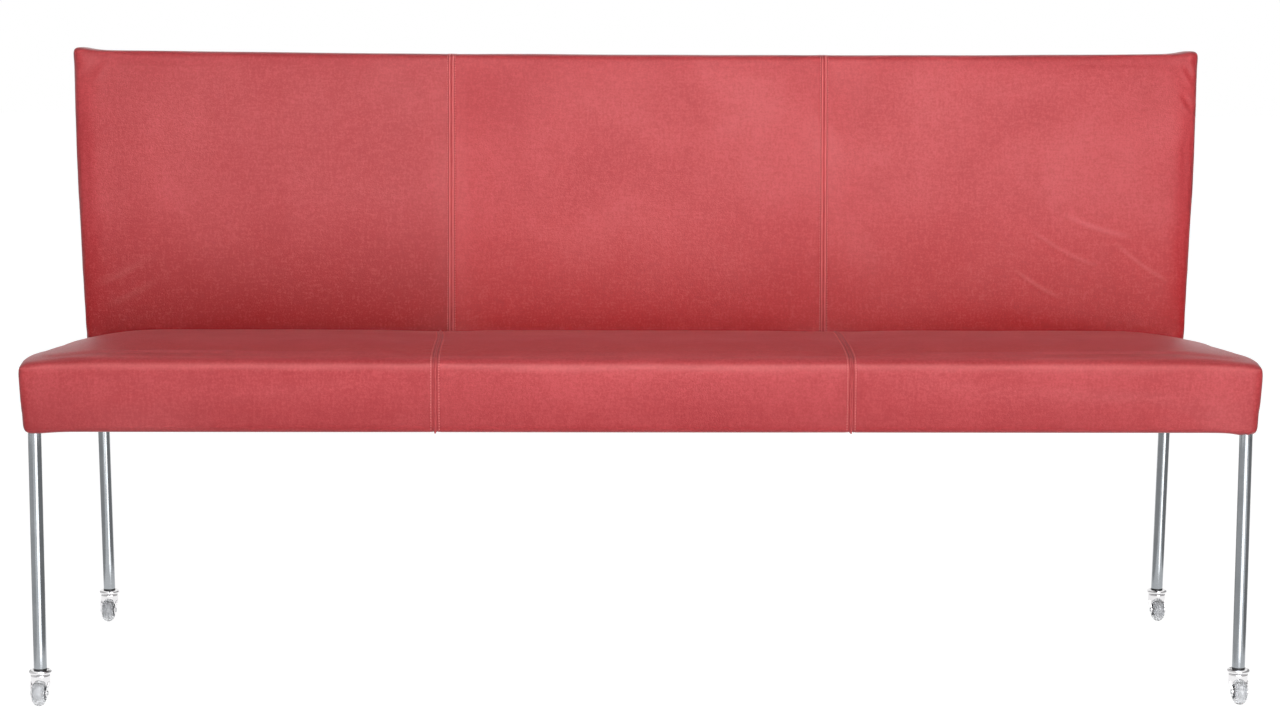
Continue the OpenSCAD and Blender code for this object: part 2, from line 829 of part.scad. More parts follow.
leg(0);  // front_left_leg
leg(1);  // front_right_leg
leg(2);  // rear_left_leg
leg(3);  // rear_right_leg
socket(0);  // front_left_socket
socket(1);  // front_right_socket
socket(2);  // rear_left_socket
socket(3);  // rear_right_socket
at_corner(0) stem();  // front_left_stem
at_corner(1) stem();  // front_right_stem
at_corner(2) stem();  // rear_left_stem
at_corner(3) stem();  // rear_right_stem
at_corner(0) ring();  // front_left_ring
at_corner(1) ring();  // front_right_ring
at_corner(2) ring();  // rear_left_ring
at_corner(3) ring();  // rear_right_ring
at_corner(0) balls();  // front_left_balls
at_corner(1) balls();  // front_right_balls
at_corner(2) balls();  // rear_left_balls
at_corner(3) balls();  // rear_right_balls
at_corner(0) fork();  // front_left_fork
at_corner(1) fork();  // front_right_fork
at_corner(2) fork();  // rear_left_fork
at_corner(3) fork();  // rear_right_fork
at_corner(0) axle();  // front_left_axle
at_corner(1) axle();  // front_right_axle
at_corner(2) axle();  // rear_left_axle
at_corner(3) axle();  // rear_right_axle
at_corner(0) hub();  // front_left_hub
at_corner(1) hub();  // front_right_hub
at_corner(2) hub();  // rear_left_hub
at_corner(3) hub();  // rear_right_hub
at_corner(0) tread();  // front_left_tread
at_corner(1) tread();  // front_right_tread
at_corner(2) tread();  // rear_left_tread
at_corner(3) tread();  // rear_right_tread
long_rail(leg_front_inset, 0);  // front_rail
long_rail(rear_rail_y, 2);  // rear_rail
end_rail(-1);  // left_end_rail
end_rail(1);  // right_end_rail
cross_rails();
back_posts();
back_top_rail();
back_board();
board_screws();
seat_webbing();
webbing_clips();
seat_foam();
back_foam();
seat_cover_left();
seat_cover_middle();
seat_cover_right();
back_cover_left();
back_cover_middle();
back_cover_right();
underside_cloth();
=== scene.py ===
"""Dining bench: leather seat and back on a steel frame with four swivel castors.

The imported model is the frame. This script dresses its rigid nodes with node-based finishes, makes the leather
panels by cloth simulation in place of the plain soft solids, and adds the seams, the studio and the camera.
"""
import json
import logging
import math
from dataclasses import dataclass, field, replace
from enum import Enum
from typing import Callable, Iterable, Sequence

import bpy
import numpy as np
from mathutils import Matrix, Vector
from mathutils.bvhtree import BVHTree


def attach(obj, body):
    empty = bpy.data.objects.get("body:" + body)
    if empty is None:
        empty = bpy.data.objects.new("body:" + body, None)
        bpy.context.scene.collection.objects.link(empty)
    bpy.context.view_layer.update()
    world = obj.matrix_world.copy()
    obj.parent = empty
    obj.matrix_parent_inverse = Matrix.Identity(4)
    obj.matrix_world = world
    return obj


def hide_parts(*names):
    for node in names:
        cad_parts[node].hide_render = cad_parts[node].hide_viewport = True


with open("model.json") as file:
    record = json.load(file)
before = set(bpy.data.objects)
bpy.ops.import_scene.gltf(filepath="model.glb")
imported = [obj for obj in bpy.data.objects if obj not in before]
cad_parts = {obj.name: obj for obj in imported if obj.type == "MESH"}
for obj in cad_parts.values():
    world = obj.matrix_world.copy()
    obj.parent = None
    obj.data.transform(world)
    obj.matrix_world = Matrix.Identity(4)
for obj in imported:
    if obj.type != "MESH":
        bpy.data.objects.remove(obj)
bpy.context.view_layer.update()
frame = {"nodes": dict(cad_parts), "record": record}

log = logging.getLogger("dining_bench")

MM = 0.001
Piece = bpy.types.Object
Node = bpy.types.Node
Socket = bpy.types.NodeSocket
Tree = bpy.types.NodeTree
Material = bpy.types.Material
Triple = tuple[float, float, float]
Outline = Sequence[tuple[float, float]]


class Side(Enum):
    """The three leather panels of the seat and of the back."""

    LEFT = "left"
    MIDDLE = "middle"
    RIGHT = "right"


class Part(Enum):
    """The two upholstered parts of the bench."""

    SEAT = "seat"
    BACK = "back"


# Sizes


@dataclass(frozen=True)
class BenchSizes:
    """Sizes of the upholstery in metres, the same as those that the solids are made from.

    Depths are measured from the seat's front face; ``shift`` brings them to the row frame.
    """

    seat_w: float = 1.800
    seat_d: float = 0.467
    underside: float = 0.404
    crease_h: float = 0.093
    crest_h: float = 0.120
    crest_y: float = 0.130
    front_fall: float = 0.008
    rear_fall: float = 0.0235
    nose_r: float = 0.026
    front_tuck: float = 0.003
    seat_taper: float = 0.013
    end_tuck: float = 0.005
    end_fall: float = 0.0205
    end_roll: float = 0.130
    back_h: float = 0.455
    back_w: float = 1.812
    back_waist: float = 0.020
    back_lean: float = 5.0
    rear_lean: float = 0.75
    back_t: float = 0.106
    top_sag: float = 0.008
    corner_ear: float = 0.004
    back_crown: float = 0.005
    rear_crown: float = 0.003
    back_edge_r: float = 0.013
    back_top_r: float = 0.008
    end_panel_share: float = 0.333
    panel_crown: float = 0.001
    hem_w: float = 0.022
    hem_t: float = 0.003
    leg_d: float = 0.019
    leg_end_inset: float = 0.015
    leg_front_inset: float = 0.022
    leg_rear_inset: float = 0.0205
    leg_rake: float = 4.2
    leg_gap: float = 0.0004
    foam_z: float = 0.4376
    foam_dip: float = 0.002
    seat_skin: float = 0.024
    back_skin: float = 0.013
    crease_wall: float = 0.006
    rear_wall: float = 0.0064
    seat_end_wall: float = 0.008
    back_end_wall: float = 0.013
    back_foam_top: float = 0.9244
    shift: float = -0.293351

    @property
    def crease(self) -> float:
        """Height of the crease between seat and back."""
        return self.underside + self.crease_h

    @property
    def crest(self) -> float:
        """Height of the highest line of the seat."""
        return self.underside + self.crest_h

    @property
    def top(self) -> float:
        """Height of the top edge of the back, without its sag and ears."""
        return self.crease + self.back_h

    @property
    def rear(self) -> float:
        """Depth of the rear face at the underside."""
        return self.seat_d + self.back_t

    @property
    def seat_half(self) -> float:
        """Half the seat's width at its front."""
        return self.seat_w / 2

    @property
    def foot_half(self) -> float:
        """Half the width at the underside."""
        return self.seat_half - self.end_tuck

    @property
    def back_half(self) -> float:
        """Half the back's width at its top corners."""
        return self.back_w / 2

    @property
    def seam_x(self) -> float:
        """Distance of a seam from the middle of the bench."""
        return self.seat_half - self.seat_w * self.end_panel_share

    @property
    def leg_x(self) -> float:
        """Distance of a leg's axis from the middle of the bench."""
        return self.foot_half - self.leg_end_inset


# Forms of the upholstery


def smooth_step(t: np.ndarray | float) -> np.ndarray:
    """Returns an even S-curve from 0 to 1 as t goes from 0 to 1."""
    s = np.clip(t, 0.0, 1.0)
    return s * s * (3 - 2 * s)


def arc_fall(radius: float, over: float) -> float:
    """Returns how far a rounding of that radius has fallen after ``over`` metres along it."""
    run = min(max(over, 0.0), radius)
    return radius - math.sqrt(max(0.0, radius * radius - run * run))


def arc_points(centre: tuple[float, float], radius: float, start: float, end: float,
               count: int) -> list[tuple[float, float]]:
    """Returns points on an arc in depth and height.

    Args:
        centre: centre of the arc.
        radius: its radius.
        start: first angle in degrees, from +Y towards +Z.
        end: last angle in degrees.
        count: number of points.
    """
    angles = np.radians(np.linspace(start, end, count))
    return [(centre[0] + radius * math.cos(a), centre[1] + radius * math.sin(a)) for a in angles]


class CoverForm:
    """The outer surfaces of seat and back, as functions of place."""

    seat_edge_r = 0.003
    plan_corner_r = 0.006
    rear_roll_r = 0.008
    ear_l = 0.050
    edge_rise = 0.160
    front_crown = 0.002
    front_end_share = 0.50
    nose_turn = math.radians(8.5)
    nose_sharper = 0.013
    side_ease = 0.0028
    nose_fade = 0.090
    crease_edge_share = 0.25
    crease_gap = 0.0003
    fall_power = 1.6
    waist_power = 1.8
    sag_middle_share = 0.62
    front_points = 12
    nose_points = 9
    top_points = 44
    rear_points = 9
    roll_points = 5
    back_points = 59
    lip_points = 6

    def __init__(self, sizes: BenchSizes) -> None:
        """Keeps the sizes that the surfaces follow."""
        self.s = sizes
        self.lean = math.tan(math.radians(sizes.back_lean))
        self.rear_slope = math.tan(math.radians(sizes.rear_lean))

    def back_front(self, z: np.ndarray | float) -> np.ndarray | float:
        """Depth of the back's front plane at a height."""
        return self.s.seat_d + (z - self.s.crease) * self.lean

    def back_rear(self, z: np.ndarray | float) -> np.ndarray | float:
        """Depth of the back's rear plane at a height."""
        return self.s.rear + (z - self.s.underside) * self.rear_slope

    def seat_top(self, y: float) -> float:
        """Height of the seat's middle line at a depth."""
        s = self.s
        if y < s.crest_y:
            return s.crest - s.front_fall * ((s.crest_y - y) / (s.crest_y - s.nose_r)) ** 2
        return s.crest - s.rear_fall * ((y - s.crest_y) / (s.seat_d - s.crest_y)) ** self.fall_power

    def seat_half_at(self, y: float, z: float) -> float:
        """Half the seat's width at a depth and height."""
        s = self.s
        up = float(smooth_step((z - s.underside) / s.crease_h))
        return (1 - up) * s.foot_half + up * (s.seat_half - s.seat_taper * y / s.seat_d)

    def back_half_at(self, z: float) -> float:
        """Half the back's width at a height."""
        s = self.s
        waist = s.back_half - s.back_waist + self.side_ease
        if z < s.crease:
            return s.foot_half + float(smooth_step((z - s.underside) / s.crease_h)) * (waist - s.foot_half)
        return waist + s.back_waist * (1 - (1 - min(1.0, (z - s.crease) / s.back_h)) ** self.waist_power)

    def fullness(self, x: float, half: float) -> float:
        """Share of a panel's crown at a place across the bench, 0 at its seams."""
        seam = self.s.seam_x
        if abs(x) <= seam:
            return 1 - (x / seam) ** 2
        return math.sin(math.pi * min(1.0, (abs(x) - seam) / (half - seam)))

    def end_drop(self, x: float, y: float) -> float:
        """How far the seat's top has fallen towards its end."""
        s = self.s
        along = min(1.0, max(0.0, (x - s.seat_half + s.end_roll) / s.end_roll))
        across = float(smooth_step((y - s.nose_r) / s.end_roll))
        return s.end_fall * along * along * (self.front_end_share + (1 - self.front_end_share) * across)

    def place(self, x: float, outline: Outline, half_at: Callable[[float, float], float],
              half: float) -> np.ndarray:
        """Turns an outline in depth and height into a ring of points, drawn in towards the end's own width.

        Args:
            x: place of the ring across the bench, on the full width.
            outline: its points in depth and height.
            half_at: half the width at a depth and height.
            half: half the full width.

        Returns:
            The ring, one row of x, y and z for each point.
        """
        s = self.s
        ring = []
        for y, z in outline:
            reach = (half_at(y, z) - s.seam_x) / (half - s.seam_x)
            ring.append((x if x <= s.seam_x else s.seam_x + (x - s.seam_x) * reach, y + s.shift, z))
        return np.array(ring)

    def seat_ring(self, x: float) -> np.ndarray:
        """Ring of the seat's surface across the bench at x, from zero outwards."""
        s = self.s
        edge = arc_fall(self.seat_edge_r, x - s.seat_half + self.seat_edge_r)
        corner = arc_fall(self.plan_corner_r, x - s.seat_half + self.plan_corner_r)
        full = self.fullness(x, s.seat_half)
        front = corner - self.front_crown * full
        lift = s.panel_crown * full - edge
        near_end = float(smooth_step((x - s.seat_half + self.nose_fade) / self.nose_fade))
        nose = s.nose_r - self.nose_sharper * near_end
        meet = front + nose * (1 - math.sin(self.nose_turn))
        nose_z = self.seat_top(meet) + lift - self.end_drop(x, 0) - nose * math.cos(self.nose_turn)
        top_end = self.back_front(s.crease) - self.crease_gap - self.rear_roll_r
        roll_z = self.seat_top(top_end) + lift - self.end_drop(x, top_end) - self.rear_roll_r
        rear_end = self.back_front(roll_z) - self.crease_gap
        up = [(front + s.front_tuck * (1 - t) ** 2, s.underside + (nose_z - s.underside) * t)
              for t in np.linspace(0, 1, self.front_points, endpoint=False)]
        nose_end = 90 + math.degrees(self.nose_turn)
        top = [(y, self.seat_top(y) + lift - self.end_drop(x, y))
               for y in np.linspace(meet, top_end, self.top_points + 2)[1:-1]]
        down = [(self.back_front(z) - self.crease_gap, z)
                for z in np.linspace(roll_z, s.underside, self.rear_points + 1)[1:]]
        outline = up + arc_points((front + nose, nose_z), nose, 180, nose_end, self.nose_points) + top
        rear_centre = (rear_end - self.rear_roll_r, roll_z)
        outline += arc_points(rear_centre, self.rear_roll_r, 90, 0, self.roll_points) + down
        return self.place(x, outline, self.seat_half_at, s.seat_half)

    def back_ring(self, x: float) -> np.ndarray:
        """Ring of the back's surface across the bench at x, from zero outwards."""
        s, r = self.s, self.s.back_top_r
        edge = arc_fall(s.back_edge_r, x - s.back_half + s.back_edge_r)
        full = self.fullness(x, s.back_half)
        ear = s.corner_ear * float(smooth_step((x - s.back_half + self.ear_l) / self.ear_l))
        arc_z = s.top - s.top_sag * (1 - self.sag_middle_share * (x / s.back_half) ** 2) + ear - edge / 2 - r
        up = []
        for z in np.linspace(s.underside, arc_z, self.back_points + 1)[:-1]:
            t = min(1.0, max(0.0, (z - s.crease) / (arc_z - s.crease)))
            rise = float(smooth_step((z - s.crease) / self.edge_rise))
            share = self.crease_edge_share + (1 - self.crease_edge_share) * rise
            up.append((self.back_front(z) + edge * share - s.back_crown * full * math.sin(math.pi * t), z))
        down = [(self.back_rear(z) - edge
                 + s.rear_crown * full * math.sin(math.pi * (z - s.underside) / (arc_z - s.underside)), z)
                for z in np.linspace(arc_z, s.underside, self.back_points + 1)[1:]]
        outline = up + arc_points((self.back_front(arc_z) + edge + r, arc_z), r, 180, 90, self.lip_points)
        outline += arc_points((self.back_rear(arc_z) - edge - r, arc_z), r, 90, 0, self.lip_points) + down
        return self.place(x, outline, lambda _, z: self.back_half_at(z), s.back_half)

    def seat_core(self) -> Outline:
        """Outline of the room for the seat foam, in depth and height."""
        s = self.s
        front = s.leg_front_inset - s.leg_d / 2 - s.leg_gap
        nose = s.nose_r - front
        top_end = self.back_front(s.crease) - s.crease_wall
        nose_z = self.seat_top(s.nose_r) - s.seat_skin - nose
        outline = [(front, s.foam_z)] + arc_points((front + nose, nose_z), nose, 180, 90, 4)
        outline += [(y, self.seat_top(y) - s.seat_skin) for y in np.linspace(front + nose, top_end, 9)[1:]]
        return outline + [(self.back_front(s.foam_z) - s.crease_wall, s.foam_z),
                          (s.seat_d / 2, s.foam_z - s.foam_dip)]

    def back_core(self) -> Outline:
        """Outline of the room for the board and foam of the back, in depth and height."""
        s, top, rear = self.s, self.s.back_foam_top, self.s.rear - self.s.rear_wall
        front = [(self.back_front(z) + s.back_skin, z) for z in (s.foam_z, top)]
        return front + [(rear, top), (rear, s.foam_z), (rear - 2 * s.foam_dip, s.foam_z - s.foam_dip)]


# Modelling helpers


def deselect_all() -> None:
    """Leaves edit mode and clears the selection."""
    if bpy.context.object and bpy.context.object.mode != "OBJECT":
        bpy.ops.object.mode_set(mode="OBJECT")
    bpy.ops.object.select_all(action="DESELECT")


def activate(obj: Piece) -> Piece:
    """Selects one object alone and makes it active."""
    deselect_all()
    obj.select_set(True)
    bpy.context.view_layer.objects.active = obj
    return obj


def apply_modifiers(obj: Piece) -> Piece:
    """Applies all the modifiers of an object in their order."""
    activate(obj)
    for name in [m.name for m in obj.modifiers]:
        bpy.ops.object.modifier_apply(modifier=name)
    return obj


def bake_place(obj: Piece) -> Piece:
    """Puts an object's place, turn and scale into its mesh."""
    activate(obj)
    bpy.ops.object.transform_apply(location=True, rotation=True, scale=True)
    return obj


def named(obj: Piece, name: str) -> Piece:
    """Names an object and its mesh."""
    obj.name = name
    obj.data.name = name
    return obj


def mesh_object(name: str, points: np.ndarray, faces: Iterable[Sequence[int]]) -> Piece:
    """Makes an object of points and faces.

    Args:
        name: name of the object and its mesh.
        points: one row of x, y and z for each point.
        faces: the point numbers of each face, seen from outside against the clock.

    Returns:
        The new object, linked to the scene.
    """
    mesh = bpy.data.meshes.new(name)
    mesh.from_pydata([tuple(map(float, p)) for p in points], [], [tuple(f) for f in faces])
    mesh.update()
    obj = bpy.data.objects.new(name, mesh)
    bpy.context.scene.collection.objects.link(obj)
    return obj


def coordinates(obj: Piece) -> np.ndarray:
    """Returns the points of a mesh, one row each."""
    flat = np.empty(len(obj.data.vertices) * 3)
    obj.data.vertices.foreach_get("co", flat)
    return flat.reshape(-1, 3)


def normals(obj: Piece) -> np.ndarray:
    """Returns the normal at each point of a mesh, one row each."""
    flat = np.empty(len(obj.data.vertices) * 3)
    obj.data.vertex_normals.foreach_get("vector", flat)
    return flat.reshape(-1, 3)


def set_coordinates(obj: Piece, points: np.ndarray) -> None:
    """Moves the points of a mesh."""
    obj.data.vertices.foreach_set("co", np.ascontiguousarray(points, dtype=float).ravel())
    obj.data.update()


def loft(name: str, rings: Sequence[np.ndarray]) -> Piece:
    """Joins rings of points into a closed form.

    Args:
        name: name of the object.
        rings: rings with the same number of points, from the smallest x to the largest.

    Returns:
        The closed form.
    """
    n, m = len(rings[0]), len(rings)
    faces = [(j * n + i, j * n + (i + 1) % n, (j + 1) * n + (i + 1) % n, (j + 1) * n + i)
             for j in range(m - 1) for i in range(n)]
    faces.append(tuple(reversed(range(n))))
    faces.append(tuple(range((m - 1) * n, m * n)))
    return mesh_object(name, np.vstack(rings), faces)


def prism(name: str, outline: Outline, low: float, high: float) -> Piece:
    """Extrudes an outline in depth and height along X."""
    first = np.array([(low, y, z) for y, z in outline])
    last = np.array([(high, y, z) for y, z in outline])
    return loft(name, [first, last])


def box_object(name: str, low: Sequence[float], high: Sequence[float]) -> Piece:
    """Adds a box between two corners."""
    deselect_all()
    centre = [(a + b) / 2 for a, b in zip(low, high)]
    size = [b - a for a, b in zip(low, high)]
    bpy.ops.mesh.primitive_cube_add(size=1, location=centre, scale=size)
    return bake_place(named(bpy.context.object, name))


def rod_object(name: str, low: Vector, high: Vector, radius: float, sides: int = 32) -> Piece:
    """Adds a round rod between two points."""
    deselect_all()
    run = high - low
    turn = run.to_track_quat("Z", "Y").to_euler()
    bpy.ops.mesh.primitive_cylinder_add(vertices=sides, radius=radius, depth=run.length,
                                        location=(low + high) / 2, rotation=turn)
    return bake_place(named(bpy.context.object, name))


def outward(obj: Piece) -> Piece:
    """Merges doubles and turns the faces of a closed mesh outwards."""
    activate(obj)
    bpy.ops.object.mode_set(mode="EDIT")
    bpy.ops.mesh.select_all(action="SELECT")
    bpy.ops.mesh.remove_doubles(threshold=0.00001)
    bpy.ops.mesh.normals_make_consistent(inside=False)
    bpy.ops.object.mode_set(mode="OBJECT")
    return obj


def carve(obj: Piece, cutters: Sequence[Piece]) -> Piece:
    """Takes the cutters out of a closed form and removes them."""
    for cutter in cutters:
        cut = obj.modifiers.new("room", "BOOLEAN")
        cut.operation = "DIFFERENCE"
        cut.solver = "MANIFOLD"
        cut.object = cutter
        apply_modifiers(obj)
        bpy.data.objects.remove(cutter, do_unlink=True)
    return obj


def eased(obj: Piece, values: np.ndarray, rounds: int) -> np.ndarray:
    """Averages a value of each point with its neighbours, several times over.

    Args:
        obj: the mesh object.
        values: one value for each point.
        rounds: how often.

    Returns:
        The eased values.
    """
    edges = np.empty(len(obj.data.edges) * 2, dtype=np.int32)
    obj.data.edges.foreach_get("vertices", edges)
    a, b = edges.reshape(-1, 2).T
    count = np.maximum(np.bincount(edges, minlength=len(values)), 1)
    for _ in range(rounds):
        total = np.bincount(a, values[b], len(values)) + np.bincount(b, values[a], len(values))
        values = 0.4 * values + 0.6 * total / count
    return values


def smooth_by_angle(obj: Piece, degrees: float) -> Piece:
    """Shades an object smooth but for its edges sharper than an angle."""
    activate(obj)
    bpy.ops.object.shade_smooth_by_angle(angle=math.radians(degrees))
    return obj


# Finishes


class Nodes:
    """A short way to add and link the nodes of one tree."""

    def __init__(self, tree: Tree) -> None:
        """Keeps the tree."""
        self.tree = tree

    def add(self, kind: str, **values: object) -> Node:
        """Adds a node; each value is a property of the node or the default of an input of that name."""
        node = self.tree.nodes.new(kind)
        for key, value in values.items():
            label = key.replace("_", " ")
            if key in node.bl_rna.properties:
                setattr(node, key, value)
            elif label in node.inputs:
                node.inputs[label].default_value = value
        return node

    def link(self, source: object, into: Socket) -> None:
        """Gives an input another socket's value, or a number or colour of its own."""
        if isinstance(source, Socket):
            self.tree.links.new(source, into)
        else:
            into.default_value = source

    def place(self) -> Socket:
        """Adds the object coordinates."""
        return self.add("ShaderNodeTexCoord").outputs["Object"]

    def math(self, operation: str, a: object, b: object = 0.0, clamp: bool = False) -> Socket:
        """Adds a Math node; an operand is a socket or a number."""
        node = self.add("ShaderNodeMath", operation=operation, use_clamp=clamp)
        for socket, operand in zip(node.inputs, (a, b)):
            self.link(operand, socket)
        return node.outputs[0]

    def noise(self, vector: Socket, scale: object, detail: float = 3.0, roughness: float = 0.55,
              distortion: float = 0.0) -> Socket:
        """Adds a noise over a vector; the scale is a socket or a number."""
        node = self.add("ShaderNodeTexNoise", Detail=detail, Roughness=roughness, Distortion=distortion)
        self.link(vector, node.inputs["Vector"])
        self.link(scale, node.inputs["Scale"])
        return node.outputs["Fac"]

    def ramp(self, fac: Socket, low: float, high: float, to_low: float = 0.0, to_high: float = 1.0) -> Socket:
        """Maps a value from one range to another and clamps it."""
        node = self.add("ShaderNodeMapRange", clamp=True, From_Min=low, From_Max=high, To_Min=to_low,
                        To_Max=to_high)
        self.link(fac, node.inputs["Value"])
        return node.outputs["Result"]

    def mix_colour(self, fac: Socket, a: object, b: object) -> Socket:
        """Mixes two colours; each is a socket or four numbers."""
        node = self.add("ShaderNodeMix", data_type="RGBA")
        for number, operand in ((0, fac), (6, a), (7, b)):
            self.link(operand, node.inputs[number])
        return node.outputs[2]

    def seen(self) -> Socket:
        """Adds a value that is 1 for what the camera sees, straight, mirrored or through a clear piece."""
        path = self.add("ShaderNodeLightPath")
        seen = self.math("ADD", path.outputs["Is Camera Ray"], path.outputs["Is Glossy Ray"], clamp=True)
        return self.math("ADD", seen, path.outputs["Is Transmission Ray"], clamp=True)


def new_material(name: str) -> tuple[Material, Nodes]:
    """Makes a material and the helper for its nodes."""
    material = bpy.data.materials.new(name)
    material.use_nodes = True
    return material, Nodes(material.node_tree)


class Effect(Enum):
    """The shared effects, each a node group."""

    MOTTLE = "mottled_tone"
    GRAIN = "pebble_grain"
    BRUSH = "brushed_lines"
    WEAVE = "woven_threads"
    HANDLING = "handling_marks"


GREY = (0.5, 0.5, 0.5, 1.0)


class EffectLibrary:
    """Builds each shared effect once and hands out its node group."""

    def __init__(self) -> None:
        """Starts with no groups."""
        self.groups: dict[Effect, Tree] = {}

    def get(self, effect: Effect) -> Tree:
        """Returns the group of an effect, built on first use."""
        if effect not in self.groups:
            self.groups[effect] = getattr(self, effect.name.lower())()
        return self.groups[effect]

    def start(self, effect: Effect, inputs: dict[str, object],
              outputs: Sequence[str]) -> tuple[Nodes, Node, Node]:
        """Starts a group with named sockets.

        Args:
            effect: the effect that the group makes.
            inputs: the default of each input by its name: a number, a vector or a colour.
            outputs: name of each output; ``Colour`` is a colour and the others are values.

        Returns:
            The node helper and the group's input and output nodes.
        """
        tree = bpy.data.node_groups.new(effect.value, "ShaderNodeTree")
        kinds = {3: "NodeSocketVector", 4: "NodeSocketColor"}
        for name, default in inputs.items():
            kind = kinds[len(default)] if isinstance(default, tuple) else "NodeSocketFloat"
            tree.interface.new_socket(name=name, in_out="INPUT", socket_type=kind).default_value = default
        for name in outputs:
            kind = "NodeSocketColor" if name == "Colour" else "NodeSocketFloat"
            tree.interface.new_socket(name=name, in_out="OUTPUT", socket_type=kind)
        nodes = Nodes(tree)
        return nodes, nodes.add("NodeGroupInput"), nodes.add("NodeGroupOutput")

    def mottle(self) -> Tree:
        """Cloudy light and dark patches over a colour, and the same patches as a value."""
        inputs = {"Colour": GREY, "Dark": GREY, "Light": GREY, "Patch Scale": 12.0, "Fine Scale": 160.0,
                  "Amount": 0.5}
        n, given, out = self.start(Effect.MOTTLE, inputs, ("Colour", "Patches"))
        place = n.place()
        patches = n.noise(place, given.outputs["Patch Scale"], 3.0, 0.45, 0.4)
        fine = n.noise(place, given.outputs["Fine Scale"], 2.0, 0.5)
        both = n.math("ADD", n.math("MULTIPLY", patches, 0.7), n.math("MULTIPLY", fine, 0.3))
        toned = given.outputs["Colour"]
        for end, name in ((0.35, "Dark"), (0.65, "Light")):
            share = n.math("MULTIPLY", n.ramp(both, 0.5, end), given.outputs["Amount"])
            toned = n.mix_colour(share, toned, given.outputs[name])
        n.link(toned, out.inputs["Colour"])
        n.link(both, out.inputs["Patches"])
        return n.tree

    def grain(self) -> Tree:
        """Pebbled hide: rounded cells with fine valleys, soft stretch lines and a crossed speckle."""
        inputs = {"Cell Scale": 620.0, "Line Scale": 60.0, "Lines": 0.4}
        n, given, out = self.start(Effect.GRAIN, inputs, ("Height", "Speckle"))
        place = n.place()
        warp = n.add("ShaderNodeTexNoise", Scale=180.0, Detail=2.0)
        n.link(place, warp.inputs["Vector"])
        bent = n.add("ShaderNodeVectorMath", operation="MULTIPLY_ADD")
        for socket, operand in zip(bent.inputs, (warp.outputs["Color"], (0.0016, 0.0016, 0.0016), place)):
            n.link(operand, socket)
        cells = n.add("ShaderNodeTexVoronoi", feature="F1", Randomness=0.9)
        n.link(bent.outputs[0], cells.inputs["Vector"])
        n.link(given.outputs["Cell Scale"], cells.inputs["Scale"])
        pores = n.ramp(cells.outputs["Distance"], 0.35, 0.75)
        drawn = self.drawn_out(n, place, (1.0, 1.0, 0.35))
        lines = n.noise(drawn, given.outputs["Line Scale"], 4.0, 0.62, 1.2)
        lines = n.math("MULTIPLY", lines, given.outputs["Lines"])
        height = n.math("ADD", n.math("SUBTRACT", 1.0, pores), lines)
        threads = [n.noise(self.drawn_out(n, place, stretch), 230.0, 3.0, 0.6)
                   for stretch in ((1.0, 1.0, 0.22), (0.22, 1.0, 1.0))]
        crossed = n.math("MULTIPLY", n.math("ADD", *threads), 0.5)
        dots = n.noise(place, 340.0, 3.0, 0.6)
        n.link(n.math("MULTIPLY", n.math("ADD", crossed, dots), 0.5), out.inputs["Speckle"])
        n.link(height, out.inputs["Height"])
        return n.tree

    @staticmethod
    def drawn_out(n: Nodes, place: Socket, stretch: Triple) -> Socket:
        """Draws a pattern's place out along the axes of small scale."""
        drawn = n.add("ShaderNodeMapping", Scale=stretch)
        n.link(place, drawn.inputs["Vector"])
        return drawn.outputs[0]

    def brush(self) -> Tree:
        """Fine lines drawn out along one direction."""
        inputs = {"Stretch": (1.0, 1.0, 0.02), "Line Scale": 1800.0, "Low": 0.2, "High": 0.4}
        n, given, out = self.start(Effect.BRUSH, inputs, ("Roughness", "Height"))
        place = n.place()
        drawn = n.add("ShaderNodeVectorMath", operation="MULTIPLY")
        n.link(place, drawn.inputs[0])
        n.link(given.outputs["Stretch"], drawn.inputs[1])
        lines = n.noise(drawn.outputs[0], given.outputs["Line Scale"], 3.0, 0.6)
        cloud = n.noise(place, 40.0, 2.0, 0.5)
        both = n.math("ADD", n.math("MULTIPLY", lines, 0.7), n.math("MULTIPLY", cloud, 0.3))
        spread = n.math("SUBTRACT", given.outputs["High"], given.outputs["Low"])
        rough = n.math("ADD", given.outputs["Low"], n.math("MULTIPLY", n.ramp(both, 0.3, 0.7), spread))
        n.link(rough, out.inputs["Roughness"])
        n.link(lines, out.inputs["Height"])
        return n.tree

    def weave(self) -> Tree:
        """Threads that cross over and under each other."""
        n, given, out = self.start(Effect.WEAVE, {"Threads": 900.0}, ("Height", "Shade"))
        place = n.add("ShaderNodeSeparateXYZ")
        n.link(n.place(), place.inputs[0])
        waves = [n.math("SINE", n.math("MULTIPLY", place.outputs[axis], given.outputs["Threads"]))
                 for axis in "XY"]
        crossing = n.math("MULTIPLY", *waves)
        n.link(n.ramp(crossing, -1.0, 1.0), out.inputs["Height"])
        n.link(n.ramp(crossing, -1.0, 0.2, 0.6, 1.0), out.inputs["Shade"])
        return n.tree

    def handling(self) -> Tree:
        """Faint smudges that change a roughness."""
        inputs = {"Base": 0.1, "Amount": 0.1, "Scale": 60.0}
        n, given, out = self.start(Effect.HANDLING, inputs, ("Roughness",))
        smudge = n.ramp(n.noise(n.place(), given.outputs["Scale"], 5.0, 0.65, 0.8), 0.4, 0.75)
        rough = n.math("ADD", given.outputs["Base"], n.math("MULTIPLY", smudge, given.outputs["Amount"]))
        n.link(rough, out.inputs["Roughness"])
        return n.tree


def rgba(colour: Triple) -> tuple[float, float, float, float]:
    """Adds a full alpha to a colour."""
    return (*colour, 1.0)


